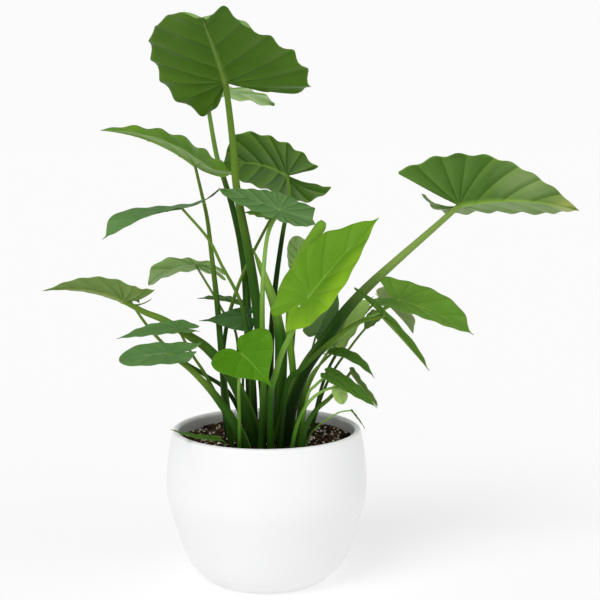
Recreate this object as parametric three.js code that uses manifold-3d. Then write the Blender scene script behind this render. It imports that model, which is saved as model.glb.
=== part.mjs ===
// A potted alocasia: a bulbous white pot full of soil, with broad arrow-shaped leaves on long upright stems.
// Millimetres, +Z up. The origin is the middle of the pot's base, and the plant is seen from the -Y side.
import * as THREE from 'three';
import { mergeVertices } from 'three/addons/utils/BufferGeometryUtils.js';
import Module from 'manifold-3d';

const wasm = await Module();
wasm.setup();

// Pot
const POT_HEIGHT = 229;
const FOOT_RADIUS = 90;
const SHOULDER_RADIUS = 121;
const SHOULDER_HEIGHT = 34;
const FLANK_RADIUS = 147;
const FLANK_HEIGHT = 115;
const BELLY_RADIUS = 151;
const BELLY_HEIGHT = 150;
const NECK_RADIUS = 147.5;
const NECK_HEIGHT = 195;
const RIM_RADIUS = 142;
const WALL = 10;
const FLOOR = 12;
const POT_SIDES = 32;
const POT_STEPS = 8;
const WALL_STEP = 1;
const LIP_STEPS = 4;

// Soil
const SOIL_EDGE_HEIGHT = 203;
const SOIL_MOUND = 9;
const SOIL_BUMP = 1.6;
const SOIL_BROAD_WAVE = { x: 0.11, y: 0.13, shift: 1.3 };
const SOIL_FINE_WAVE = { x: 0.31, y: 0.23, share: 0.5 };
const SOIL_RINGS = [110, 75, 38, 0];

// What every leaf and stem shares
const CLEARANCE = 0.3;
const BLADE_THICKNESS = 1.1;
const ROOT_HEIGHT = 184;
const THIN_STEM = 3.2;
const STEM_SIDES = 8;
const THIN_STEM_SIDES = 6;
const STEM_STEPS = 9;
const JOINT_OVERRUN = 10;

// The margin's waves: their shift from vein to vein, growth towards the margin and fading at both ends
const WAVE_PHASE = 0.1;
const WAVE_GROWTH = 2.5;
const WAVE_FADE = 0.6;

// How far in front of the joint the veins' bow is full, as a share of the blade's length
const BOW_REACH = 0.35;

// The back of a half blade, as shares of its lobe and half width. A lobe whose end is wide has an open notch
const LOBE_SHOULDER = { back: 0.55, growth: 1.15 };
const LOBE_CORNER = { back: 0.88, widening: 0.26 };
const OPEN_LOBE = { from: 0.34, span: 0.3 };
const NOTCH_OUTER = { back: 0.7, closed: 0.36, opening: 0.34 };
const NOTCH_INNER = { back: 0.3, closed: 0.1, opening: 0.2 };

// How exact the meshes are: points nearer than this are one, and smaller bends count as straight
const MERGE_DISTANCE = 1e-3;
const BLADE_GRID = 0.05;
const NO_BEND = 1e-6;
const LEAST_CUP = 1e-4;

// Looks
const WHITE_GLAZE = { color: 0xf1f1ee, roughness: 0.25, metalness: 0 };
const POTTING_SOIL = { color: 0x3a2a20, roughness: 0.95, metalness: 0 };
const LEAF_GREEN = { color: 0x4f7d33, roughness: 0.5, metalness: 0 };
const YOUNG_LEAF = { color: 0x86b53c, roughness: 0.45, metalness: 0 };
const WITHERED_LEAF = { color: 0xa3b478, roughness: 0.55, metalness: 0 };
const STEM_GREEN = { color: 0x86a258, roughness: 0.45, metalness: 0 };

// The front of a half blade, from the tip to its widest place: shares of the length and of the half width
const FRONTS = {
  broad: [[1, 0], [0.945, 0.035], [0.87, 0.2], [0.72, 0.53], [0.5, 0.82], [0.22, 0.98], [-0.15, 1]],
  blunt: [[1, 0], [0.985, 0.2], [0.92, 0.45], [0.76, 0.75], [0.5, 0.95], [0.22, 1], [-0.15, 0.97]],
  narrow: [[1, 0], [0.9, 0.1], [0.75, 0.36], [0.6, 0.58], [0.42, 0.8], [0.2, 0.96], [-0.1, 1]],
  curledOut: [[0.93, 0], [0.98, 0.1], [1.02, 0.28], [0.93, 0.49], [0.8, 0.68], [0.58, 0.89], [0.3, 1],
    [-0.15, 0.97]],
  curledIn: [[0.93, 0], [0.97, 0.12], [1.1, 0.3], [0.86, 0.44], [0.66, 0.62], [0.46, 0.82], [0.22, 0.96],
    [-0.15, 1]],
  slim: [[1, 0], [0.92, 0.09], [0.8, 0.25], [0.6, 0.48], [0.4, 0.7], [0.18, 0.88], [-0.2, 1]],
  square: [[1, 0], [0.97, 0.2], [0.93, 0.45], [0.86, 0.76], [0.72, 0.94], [0.5, 0.97], [0.2, 0.97],
    [-0.1, 1]],
  tailed: [[1, 0], [0.93, 0.05], [0.88, 0.28], [0.8, 0.62], [0.62, 0.88], [0.35, 1], [-0.1, 0.98]],
  forward: [[1, 0], [0.95, 0.16], [0.87, 0.45], [0.74, 0.84], [0.55, 1], [0.3, 0.92], [-0.05, 0.72]],
  plump: [[1, 0], [0.93, 0.08], [0.86, 0.3], [0.7, 0.57], [0.54, 0.9], [0.34, 1], [0.05, 1], [-0.15, 0.95]],
  rear: [[1, 0], [0.92, 0.08], [0.8, 0.22], [0.6, 0.42], [0.4, 0.62], [0.18, 0.86], [-0.2, 1]],
  fan: [[1, 0], [0.98, 0.3], [0.93, 0.65], [0.82, 0.95], [0.62, 1], [0.35, 0.75], [0, 0.42]],
  spade: [[1, 0], [0.93, 0.04], [0.8, 0.1], [0.66, 0.3], [0.5, 0.55], [0.3, 0.82], [0.1, 0.98], [-0.15, 1]],
};

const LEAF_DEFAULTS = {
  front: 'broad', wide: 1, fold: 12, cup: 10, droop: 20, twist: 0, lobeDroop: 10, lobeEnd: 0.36,
  lobeWide: 0.86, sweep: 0, sinus: 0, veins: 7, wave: 3, scallop: 0.008, bow: 0.12, lag: 0.42,
  rowsPerVein: 2, columns: [0, 0.5, 1], taper: 1, look: LEAF_GREEN,
};

// A leaf: joint and tip are where the blade meets its stem and where it ends, and faces is the way its upper
// side looks. lobe is how far its lobes reach behind the joint. fold, cup, droop and twist are its bends in
// degrees, and sweep shears its lobes sideways. sinus is the share of the notch between the lobes that is
// closed. left and right change a half of their own. path leads the stem from the soil to just under the
// joint, and radius is the stem's at its root and at its top.
const LARGE_LEAVES = [
  {
    name: 'top', joint: [-57, -30, 741], tip: [-84, -150, 828], faces: [0.1, 0.65, 0.76], width: 236,
    lobe: 70, cup: 12, droop: 14, lobeDroop: 0, veins: 9, wave: 4, scallop: 0.024, bow: 0, lag: 0.45,
    rowsPerVein: 3,
    left: { front: 'curledIn', wide: 1.04, fold: -6, lobe: 38, lobeEnd: 0.85, lobeDroop: -40 },
    right: { front: 'curledOut', wide: 0.86, fold: 2, lobeEnd: 0.46 },
    path: [[0, -18], [-2, -17, 274], [-7, -16, 349], [-15, -16, 424], [-26, -16, 498], [-42, -18, 586],
      [-47, -22, 650], [-52, -26, 700]],
    radius: [10, 4.2], taper: 1.2,
  },
  {
    name: 'top_back', joint: [-94, 92, 729], tip: [11, 70, 710], faces: [0, -0.22, 1], width: 84, lobe: 30,
    front: 'blunt', fold: 0, cup: 0, droop: 38, veins: 6,
    path: [[-22, 18], [-30, 20, 420], [-38, 34, 495], [-52, 60, 554], [-66, 86, 596], [-79, 98, 636]],
    radius: [8, 3],
  },
  {
    name: 'upper_left', joint: [-105, 10, 621], tip: [-238, -30, 673], faces: [0.25, 0.04, 0.95], width: 104,
    lobe: 72, front: 'narrow', fold: 28, cup: -10, droop: 35, lobeDroop: -62, veins: 8, wave: 2.5,
    rowsPerVein: 3,
    left: { wave: 0.5, wide: 0.6, fold: 20 },
    right: { front: 'rear', wave: 3, wide: 1.62, lobeDroop: -36 },
    path: [[-48, -20], [-62, -10, 288], [-68, -6, 355], [-74, 2, 422], [-81, 10, 482], [-88, 16, 541],
      [-96, 14, 580]],
    radius: [6.5, 2],
  },
  {
    name: 'middle_left', joint: [-122, -30, 561], tip: [-236, -50, 516], faces: [-0.25, 0.04, 1], width: 76,
    lobe: 66, front: 'tailed', fold: 3, cup: 0, droop: 32, twist: -75, lobeDroop: -44, sinus: 0.9, wave: 1,
    left: { wide: 0.2 },
    right: { wide: 0.95, fold: 9 },
    path: [[-16, 0], [-18, -14, 291], [-24, -25, 358], [-34, -29, 411], [-44, -28, 439], [-64, -27, 476],
      [-84, -28, 516]],
    radius: [3.5, 1.8],
  },
  {
    name: 'back', joint: [31, 70, 605], tip: [-67, 85, 623], faces: [0.05, 0.62, 0.8], width: 160, lobe: 52,
    front: 'square', fold: 0, cup: 10, droop: 50, lobeDroop: 0, veins: 10, wave: 2, scallop: 0.012, lag: 0.4,
    rowsPerVein: 3,
    left: { wide: 0.88, lobe: 54, lobeEnd: 0.85 },
    right: { front: 'blunt', wide: 0.72, fold: -10, lobe: 70, lobeEnd: 0.42, sweep: -0.25, lobeDroop: -50 },
    path: [[2, 40], [6, 38, 350], [12, 40, 432], [20, 50, 493], [26, 60, 530], [34, 70, 570]],
    radius: [6.5, 2.8],
  },
  {
    name: 'centre', joint: [20, -20, 558], tip: [-66, -50, 590], faces: [-0.3, -0.7, 0.8], width: 84,
    lobe: 56, front: 'blunt', fold: 12, cup: 8, droop: 6, lobeDroop: -14, sinus: 0.95, lobeEnd: 0.5,
    veins: 8, wave: 1.5, rowsPerVein: 3,
    left: { wide: 0.85, lobeEnd: 0.36 },
    right: { front: 'slim', wide: 0.68, lobeEnd: 0.7 },
    path: [[-8, -64], [-3, -52, 311], [-5, -44, 384], [-4, -36, 456], [3, -30, 522]],
    radius: [6, 2.6],
  },
  {
    name: 'front', joint: [65, -110, 444], tip: [161, -100, 552], faces: [-0.3, -0.8, 0.55], width: 102,
    lobe: 60, front: 'plump', fold: 10, cup: -6, droop: 14, sinus: 0.63, scallop: 0.004, wave: 1.5,
    sweep: -0.36, look: YOUNG_LEAF,
    left: { wide: 0.97, lobeEnd: 0.17, lobeWide: 0.6 },
    right: { front: 'narrow', fold: 24, wide: 0.98, lobeEnd: 0.66, lobeWide: 1.04 },
    path: [[8, -72], [7, -80, 287], [16, -88, 330], [26, -92, 362], [44, -104, 400]],
    radius: [6, 3],
  },
  {
    name: 'heart', joint: [-31, -130, 363], tip: [11, -160, 322], faces: [0, -0.75, 0.65], width: 94,
    lobe: 28, front: 'spade', fold: 6, droop: 30, sinus: 0.2, veins: 6, wave: 1, scallop: 0.004,
    look: YOUNG_LEAF,
    left: { wide: 1.06 },
    right: { wide: 1.02 },
    path: [[-38, -88], [-37, -90, 259], [-37, -104, 312]],
    radius: [3, 2],
  },
  {
    name: 'right', joint: [285, 0, 563], tip: [460, -10, 556], faces: [0, 0.53, 0.85], width: 200, lobe: 90,
    fold: 18, cup: 0, droop: 34, veins: 11, wave: 3, scallop: 0.012, lag: 0.45, rowsPerVein: 3,
    left: { front: 'forward', wide: 0.74, fold: 14, lobe: 71, lobeDroop: -85, lobeEnd: 0.3, lobeWide: 0.45 },
    right: { front: 'slim', wide: 0.98, lobeEnd: 0.85, fold: 22, lobeDroop: -4 },
    path: [[22, -34], [28, -32, 240], [42, -26, 290], [60, -20, 328], [88, -15, 366], [119, -10, 409],
      [154, -6, 446], [198, -3, 486], [246, 0, 528]],
    radius: [14, 4], taper: 1.3,
  },
  {
    name: 'lower_right', joint: [200, 30, 418], tip: [313, 20, 366], faces: [0.15, -0.45, 0.85], width: 88,
    lobe: 42, fold: 8, cup: 12, droop: 24, sinus: 0.3, lobeEnd: 0.5, wave: 1, scallop: 0.004,
    left: { front: 'tailed', lobeEnd: 0.9, wide: 0.98 },
    right: { wide: 0.94 },
    path: [[44, 8], [58, 12, 310], [88, 10, 347], [126, 10, 379], [165, 18, 400]],
    radius: [5, 2.5],
  },
  {
    name: 'folded', joint: [171, -48, 404], tip: [238, -64, 327], faces: [0.75, 0.25, 0.6], width: 29,
    lobe: 60, front: 'tailed', fold: 36, droop: 5, veins: 6, wave: 0.8,
    right: { wide: 0.8 },
    path: [[18, -62], [30, -54, 300], [52, -50, 327], [74, -49, 349], [95, -49, 368], [117, -49, 385],
      [139, -49, 397]],
    radius: [5, 2.5],
  },
  {
    name: 'far_left', joint: [-212, -5, 421], tip: [-328, -25, 439], faces: [0.1, 0.33, 0.93], width: 88,
    lobe: 50, fold: 24, cup: 8, droop: 38, lobeDroop: -46, wave: 1, scallop: 0.004, veins: 9, rowsPerVein: 2,
    left: { front: 'narrow', lobeEnd: 0.85, wide: 0.93 },
    right: { fold: 2, wide: 0.8, lobeEnd: 0.6, lobeDroop: -75 },
    path: [[-14, -44], [-24, -40, 250], [-44, -36, 300], [-66, -32, 332], [-90, -24, 356], [-116, -16, 372],
      [-151, -9, 393], [-181, -6, 405]],
    radius: [12, 3.5], taper: 1.1,
  },
  {
    name: 'left_narrow', joint: [-127, -50, 386], tip: [-215, -62, 374], faces: [-0.1, -0.3, 0.93],
    width: 60, lobe: 32, fold: -4, cup: 16, droop: 12, wave: 1,
    left: { wide: 0.5 },
    right: { wide: 0.92 },
    path: [[-44, -50], [-62, -48, 262], [-87, -48, 316], [-107, -49, 348]],
    radius: [3, 1.8],
  },
  {
    name: 'left_round', joint: [-137, -92, 357], tip: [-204, -120, 351], faces: [-0.1, -0.5, 0.85],
    width: 62, lobe: 46, front: 'blunt', fold: -4, cup: 16, lobeDroop: -26, veins: 6, wave: 1,
    left: { wide: 0.9, lobe: 40, lobeEnd: 0.2 },
    right: { wide: 0.85, lobe: 54 },
    path: [[-26, -70], [-34, -74, 226], [-51, -77, 262], [-73, -80, 295], [-92, -84, 318], [-112, -88, 338]],
    radius: [10, 3], taper: 1.2,
  },
  {
    name: 'pale_left', joint: [-109, 44, 471], tip: [-178, 20, 443], faces: [-0.3, 0.45, 0.85], width: 66,
    lobe: 52, front: 'blunt', fold: 4, cup: 14, droop: 50, lobeDroop: 50, wave: 2,
    left: { front: 'fan', wide: 1.05, lobeEnd: 0.15, lobeWide: 0.4 },
    right: { fold: 0 },
    path: [[-42, 26], [-44, 34, 330], [-50, 35, 375], [-63, 34, 394], [-81, 35, 426], [-94, 39, 447]],
    radius: [2.4, 1.6],
  },
  {
    name: 'pale_right', joint: [172, 52, 420], tip: [223, 46, 365], faces: [0.3, -0.1, 0.9], width: 36,
    lobe: 10, fold: 10, veins: 5, wave: 1, look: WITHERED_LEAF,
    left: { front: 'square', wide: 2.3 },
    right: { wide: 0.6 },
    path: [[60, 22], [90, 50, 300], [140, 62, 380]],
    radius: [3, 1.8],
  },
];

// Small leaves are each one body with their stem
const SMALL_LEAVES = [
  {
    name: 'pale_inner', joint: [102, 42, 352], tip: [162, 36, 424], faces: [-0.4, -0.7, 0.4], width: 54,
    lobe: 10, fold: 6, cup: 20, veins: 6, wave: 2, look: YOUNG_LEAF,
    path: [[42, 40], [62, 42, 280]],
    radius: [3, 1.8],
  },
  {
    name: 'far_left_small', joint: [-216, 72, 417], tip: [-266, 80, 426], faces: [0.1, 0.2, 0.9], width: 40,
    lobe: 20, fold: 10, cup: 8, veins: 5, wave: 2,
    path: [[-20, 52], [-56, 38, 270], [-96, 26, 305], [-128, 24, 326], [-162, 38, 354], [-187, 54, 379]],
    radius: [4, 1.8],
  },
  {
    name: 'centre_back', joint: [8, 16, 545], tip: [-34, 12, 552], faces: [0, 0.5, 0.85], width: 32, lobe: 8,
    fold: 6, veins: 5, wave: 1.5,
    path: [[-58, 8], [-67, 9, 302], [-61, 10, 377], [-46, 8, 432], [-30, 8, 472], [-7, 12, 517]],
    radius: [4, 2],
  },
  {
    name: 'dark_left', joint: [-35, 54, 407], tip: [-109, 76, 415], faces: [0, 0.4, 1], width: 44, lobe: 14,
    fold: 4, droop: 22, veins: 6, wave: 1,
    path: [[-4, 60], [-14, 60, 300], [-30, 57, 376]],
    radius: [3.5, 1.8],
  },
  {
    name: 'hanging_left', joint: [-28, -6, 400], tip: [-100, -16, 393], faces: [-0.2, -0.9, 0.3], width: 50,
    lobe: 9, front: 'spade', fold: 4, droop: 10, veins: 6, wave: 1.5,
    right: { wide: 0.55 },
    path: [[-34, 2], [-36, 4, 280], [-34, 3, 340]],
    radius: [2.5, 1.5],
  },
  {
    name: 'pale_centre', joint: [50, 35, 469], tip: [44, 25, 516], faces: [0.1, 0.8, 0.5], width: 38,
    lobe: 8, front: 'blunt', fold: 8, droop: 10, veins: 6, wave: 1.5,
    path: [[28, 30], [36, 34, 300], [44, 36, 400]],
    radius: [2.5, 1.5],
  },
  {
    name: 'behind_front', joint: [75, 32, 367], tip: [108, 28, 437], faces: [0.1, -0.9, 0.3], width: 44,
    lobe: 10, fold: 8, veins: 5, wave: 1,
    path: [[50, 24], [58, 27, 290], [68, 30, 340]],
    radius: [2.5, 1.5],
  },
  {
    name: 'grey', joint: [166, 34, 394], tip: [147, 30, 372], faces: [-0.3, -0.6, 0.7], width: 26, lobe: 8,
    fold: 6, veins: 5, wave: 1,
    path: [[56, 10], [90, 22, 290], [130, 34, 350]],
    radius: [2.5, 1.5],
  },
  {
    name: 'small_upper', joint: [97, -45, 350], tip: [158, -70, 317], faces: [0.1, -0.25, 0.95], width: 32,
    lobe: 10, fold: 8, cup: 16, droop: 60, veins: 5, wave: 0.8,
    left: { wide: 0.95 },
    right: { wide: 1.3 },
    path: [[38, -56], [56, -54, 285], [66, -52, 318], [84, -48, 338]],
    radius: [3, 1.6],
  },
  {
    name: 'small_lower', joint: [92, -62, 322], tip: [162, -80, 275], faces: [0.2, -0.5, 0.8], width: 40,
    lobe: 10, fold: 8, veins: 6, wave: 0.8,
    left: { wide: 0.66 },
    path: [[44, -70], [60, -66, 285], [72, -64, 305]],
    radius: [3, 1.8],
  },
  {
    name: 'round_pale', joint: [107, -66, 304], tip: [113, -60, 277], faces: [-0.3, 0.9, 0.1], width: 24,
    lobe: 6, front: 'blunt', fold: 5, droop: 10, veins: 4, wave: 0.6, look: YOUNG_LEAF,
    path: [[34, -82], [43, -80, 240], [54, -79, 270], [67, -76, 288], [86, -70, 300]],
    radius: [3.5, 1.8],
  },
  {
    name: 'narrow_right', joint: [126, -20, 318], tip: [165, -30, 267], faces: [0.6, 0.3, 0.6], width: 20,
    lobe: 6, front: 'square', fold: 25, cup: 5, droop: -10, veins: 5, wave: 0.8,
    path: [[50, -84], [57, -78, 240], [72, -66, 268], [92, -52, 283], [110, -38, 300]],
    radius: [5, 2],
  },
  {
    name: 'thread', joint: [125, -70, 270], tip: [144, -86, 246], faces: [0.6, 0.2, 0.5], width: 5, lobe: 2,
    fold: 20, cup: 5, droop: 5, veins: 4, wave: 0.5, look: YOUNG_LEAF,
    path: [[60, -60], [62, -58, 225], [78, -59, 246], [94, -60, 257], [108, -64, 266]],
    radius: [1.6, 1],
  },
  {
    name: 'ground', joint: [-66, -60, 224], tip: [-134, -112, 252], faces: [0, -0.4, 1], width: 16, lobe: 4,
    cup: 5, droop: -20, veins: 4, wave: 1, look: YOUNG_LEAF,
    path: [[-56, -60], [-59, -60, 216]],
    radius: [1.6, 1.4],
  },
];

// A leaf that is still rolled up and the sheath that the newest leaves grow out of: bare stems in shape
const SPIKES = [
  {
    name: 'leaf_rolled', look: YOUNG_LEAF, radius: [4, 8], taper: 0.6,
    path: [[36, -6], [40, -6, 300], [34, -14, 380], [40, -30, 450], [50, -32, 489], [84, -40, 542]],
  },
  {
    name: 'sheath', look: STEM_GREEN, radius: [12, 2], taper: 0.55,
    path: [[13, 4], [20, 6, 300], [21, 4, 360], [13, 0, 410], [0, -2, 450], [-20, -1, 500]],
  },
];

const radians = THREE.MathUtils.degToRad;

// Solids

function solidOf(positions, triangles) {
  const filled = triangles.filter(([a, b, c]) => a !== b && b !== c && c !== a);
  const mesh = new wasm.Mesh({
    numProp: 3,
    vertProperties: new Float32Array(positions.flat()),
    triVerts: new Uint32Array(filled.flat()),
  });
  return new wasm.Manifold(mesh);
}

function solidOfGeometry(geometry) {
  geometry.deleteAttribute('normal');
  geometry.deleteAttribute('uv');
  const merged = mergeVertices(geometry, MERGE_DISTANCE);
  const points = merged.getAttribute('position');
  const pointAt = (_, i) => [points.getX(i), points.getY(i), points.getZ(i)];
  const positions = Array.from({ length: points.count }, pointAt);
  const index = merged.getIndex();
  const triangles = [];
  for (let i = 0; i < index.count; i += 3) {
    triangles.push([index.getX(i), index.getX(i + 1), index.getX(i + 2)]);
  }
  return solidOf(positions, triangles);
}

function largestPiece(solid) {
  const pieces = solid.decompose();
  return pieces.reduce((best, piece) => (piece.volume() > best.volume() ? piece : best));
}

function meshOf(name, solid, look) {
  const { numProp, vertProperties, triVerts } = largestPiece(solid).getMesh();
  const positions = new Float32Array((vertProperties.length / numProp) * 3);
  for (let i = 0; i < positions.length; i += 1) {
    positions[i] = vertProperties[Math.floor(i / 3) * numProp + (i % 3)];
  }
  const geometry = new THREE.BufferGeometry();
  geometry.setAttribute('position', new THREE.BufferAttribute(positions, 3));
  geometry.setIndex([...triVerts]);
  const mesh = new THREE.Mesh(geometry, new THREE.MeshStandardMaterial(look));
  mesh.name = name;
  return mesh;
}

// Pot and soil

function potOutside() {
  return new THREE.CatmullRomCurve3([
    [FOOT_RADIUS, 0], [SHOULDER_RADIUS, SHOULDER_HEIGHT], [FLANK_RADIUS, FLANK_HEIGHT],
    [BELLY_RADIUS, BELLY_HEIGHT], [NECK_RADIUS, NECK_HEIGHT], [RIM_RADIUS, POT_HEIGHT - WALL / 2],
  ].map(([radius, height]) => new THREE.Vector3(radius, height, 0)));
}

// The pot's wall, set in by a distance: radius and height from the floor's level up
function potWall(inset) {
  const outside = potOutside();
  const wall = [];
  for (let i = 0; i <= POT_STEPS; i += 1) {
    const along = outside.getTangentAt(i / POT_STEPS);
    const point = outside.getPointAt(i / POT_STEPS);
    wall.push(new THREE.Vector2(point.x - along.y * inset, point.y + along.x * inset));
  }
  return wall;
}

function cutAtHeight(wall, height) {
  const next = wall.findIndex((point) => point.y > height);
  const low = wall[next - 1];
  const high = wall[next];
  return low.clone().lerp(high, (height - low.y) / (high.y - low.y));
}

function spun(profile) {
  const lathe = new THREE.LatheGeometry(profile, POT_SIDES);
  lathe.rotateX(Math.PI / 2);
  return lathe;
}

function pot() {
  const lipCentre = new THREE.Vector2(RIM_RADIUS - WALL / 2, POT_HEIGHT - WALL / 2);
  const lip = [];
  for (let i = 1; i < LIP_STEPS; i += 1) {
    const turn = (Math.PI * i) / LIP_STEPS;
    lip.push(new THREE.Vector2(Math.cos(turn), Math.sin(turn)).multiplyScalar(WALL / 2).add(lipCentre));
  }
  const inside = potWall(WALL).filter((point) => point.y > FLOOR + WALL_STEP).slice(0, -1);
  const floorEdge = cutAtHeight(potWall(WALL), FLOOR);
  return solidOfGeometry(spun([
    new THREE.Vector2(0, 0),
    ...potWall(0),
    ...lip,
    new THREE.Vector2(RIM_RADIUS - WALL, POT_HEIGHT - WALL / 2),
    ...inside.reverse(),
    floorEdge,
    new THREE.Vector2(0, FLOOR),
  ]));
}

function soilHeight(x, y) {
  const out = Math.hypot(x, y) / SOIL_RINGS[0];
  const mound = SOIL_MOUND * (1 - Math.min(1, out * out));
  const broad = Math.sin(SOIL_BROAD_WAVE.x * x + SOIL_BROAD_WAVE.shift) * Math.cos(SOIL_BROAD_WAVE.y * y);
  const fine = SOIL_FINE_WAVE.share * Math.sin(SOIL_FINE_WAVE.x * x + SOIL_FINE_WAVE.y * y);
  return SOIL_EDGE_HEIGHT + mound + SOIL_BUMP * (broad + fine);
}

function soil(stems) {
  const wall = potWall(WALL + CLEARANCE);
  const side = wall.filter((point) => point.y > FLOOR + WALL_STEP && point.y < SOIL_EDGE_HEIGHT - WALL_STEP);
  const body = spun([
    new THREE.Vector2(0, FLOOR + CLEARANCE),
    cutAtHeight(wall, FLOOR + CLEARANCE),
    ...side,
    cutAtHeight(wall, SOIL_EDGE_HEIGHT),
    ...SOIL_RINGS.map((radius) => new THREE.Vector2(radius, SOIL_EDGE_HEIGHT + WALL_STEP)),
  ]);
  const points = body.getAttribute('position');
  for (let i = 0; i < points.count; i += 1) {
    if (points.getZ(i) > SOIL_EDGE_HEIGHT + WALL_STEP / 2) {
      points.setZ(i, soilHeight(points.getX(i), points.getY(i)));
    }
  }
  return stems.reduce((left, stem) => left.subtract(stem), solidOfGeometry(body));
}

// Stems

function stemCurve(path, end) {
  const [[x, y], ...rest] = path;
  const points = [[x, y, ROOT_HEIGHT], ...rest, ...(end ? [end] : [])];
  return new THREE.CatmullRomCurve3(points.map((p) => new THREE.Vector3(...p)), false, 'catmullrom', 0.5);
}

// A tapering tube along a curve. grown makes it wider and lets it start lower, as the hole that it stands in
function stemSolid(curve, [root, top], taper, grown = 0, overrun = 0) {
  const sides = root < THIN_STEM ? THIN_STEM_SIDES : STEM_SIDES;
  const tube = new THREE.CylinderGeometry(1, 1, 1, sides, STEM_STEPS, false);
  const frames = curve.computeFrenetFrames(STEM_STEPS, false);
  const points = tube.getAttribute('position');
  const point = new THREE.Vector3();
  for (let i = 0; i < points.count; i += 1) {
    const step = Math.round((points.getY(i) + 0.5) * STEM_STEPS);
    const share = step / STEM_STEPS;
    const radius = top + (root - top) * (1 - share) ** taper + grown;
    curve.getPointAt(share, point);
    point.addScaledVector(frames.normals[step], radius * points.getX(i));
    point.addScaledVector(frames.binormals[step], -radius * points.getZ(i));
    if (step === 0) {
      point.addScaledVector(frames.tangents[0], -grown);
    }
    if (step === STEM_STEPS) {
      point.addScaledVector(frames.tangents[step], overrun);
    }
    points.setXYZ(i, ...point);
  }
  return solidOfGeometry(tube);
}

// Blades

function arc(distance, reach, bend) {
  if (Math.abs(bend) < NO_BEND) {
    return { along: distance, down: 0, turn: 0 };
  }
  const turn = (bend * distance) / reach;
  return { along: (Math.sin(turn) * reach) / bend, down: ((1 - Math.cos(turn)) * reach) / bend, turn };
}

// The way the midrib leaves the joint, the blade's upper side there, and the midrib's length along its arc
function leafFrame({ joint, tip, faces, droop }) {
  const start = new THREE.Vector3(...joint);
  const chord = new THREE.Vector3(...tip).sub(start);
  const straight = chord.length();
  const toTip = chord.normalize();
  const up = new THREE.Vector3(...faces);
  up.addScaledVector(toTip, -up.dot(toTip)).normalize();
  const half = radians(droop) / 2;
  const forward = toTip.clone().multiplyScalar(Math.cos(half)).addScaledVector(up, Math.sin(half));
  const upper = up.multiplyScalar(Math.cos(half)).addScaledVector(toTip, -Math.sin(half));
  return { start, forward, upper, length: half === 0 ? straight : (straight * half) / Math.sin(half) };
}

function halfOutline(half, length) {
  const { front, sinus, lobeEnd, lobeWide, lobe, wide, width, veins, scallop, rowsPerVein } = half;
  const gap = 1 - sinus;
  const open = THREE.MathUtils.clamp((lobeEnd - OPEN_LOBE.from) / OPEN_LOBE.span, 0, 1);
  const notch = [NOTCH_OUTER, NOTCH_INNER].map(({ back, closed, opening }) => (
    [-sinus - back * gap, lobeEnd * (closed + opening * open)]
  ));
  const shares = [
    ...FRONTS[front],
    [-LOBE_SHOULDER.back, Math.max(lobeWide, Math.min(1, lobeEnd * LOBE_SHOULDER.growth))],
    [-LOBE_CORNER.back, lobeEnd + LOBE_CORNER.widening * (1 - lobeEnd)],
    [-1, lobeEnd],
    ...notch,
    [-sinus, 0],
  ];
  const halfWidth = (width / 2) * wide;
  const points = shares.map(([a, b]) => new THREE.Vector3(a * (a > 0 ? length : lobe), b * halfWidth, 0));
  const rows = veins * rowsPerVein;
  const margin = new THREE.CatmullRomCurve3(points, false, 'catmullrom', 0.5);
  return margin.getSpacedPoints(rows).map((point, row) => {
    const phi = row / rows;
    const ripple = Math.cos(2 * Math.PI * veins * phi) * Math.sqrt(Math.max(0, Math.sin(Math.PI * phi)));
    return { phi, along: point.x, out: point.y * (1 + scallop * ripple), halfWidth };
  });
}

function bladePoint(half, frame, edge, ribStart, t, side) {
  const { fold, cup, wave, veins, twist, droop, lobe, lobeDroop, sweep, bow } = half;
  const { start, forward, upper, length } = frame;
  const { phi, halfWidth } = edge;
  const bowShare = bow * THREE.MathUtils.smoothstep(edge.along, 0, BOW_REACH * length);
  const bowed = bowShare * length * t * (1 - t) * (edge.out / halfWidth);
  const a = ribStart + (edge.along - ribStart) * t - bowed;
  const b = edge.out * t;
  const lift = radians(fold);
  const curl = radians(cup) + LEAST_CUP;
  const bend = lift + (curl * b) / halfWidth;
  let y = (halfWidth / curl) * (Math.sin(bend) - Math.sin(lift));
  let z = (-halfWidth / curl) * (Math.cos(bend) - Math.cos(lift));
  const ripple = Math.sin(2 * Math.PI * (veins * phi + WAVE_PHASE * side));
  z += wave * t ** WAVE_GROWTH * Math.max(0, Math.sin(Math.PI * phi)) ** WAVE_FADE * ripple;
  y = y * side + sweep * Math.min(a, 0);
  const roll = (radians(twist) * a * Math.abs(a)) / length ** 2;
  [y, z] = [y * Math.cos(roll) - z * Math.sin(roll), y * Math.sin(roll) + z * Math.cos(roll)];
  const ahead = arc(Math.max(a, 0), length, radians(droop));
  const behind = arc(Math.max(-a, 0), Math.max(lobe, 1), radians(lobeDroop));
  const turn = ahead.turn - behind.turn;
  const left = new THREE.Vector3().crossVectors(upper, forward);
  return start.clone()
    .addScaledVector(forward, ahead.along - behind.along + z * Math.sin(turn))
    .addScaledVector(left, y)
    .addScaledVector(upper, z * Math.cos(turn) - ahead.down - behind.down);
}

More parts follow.
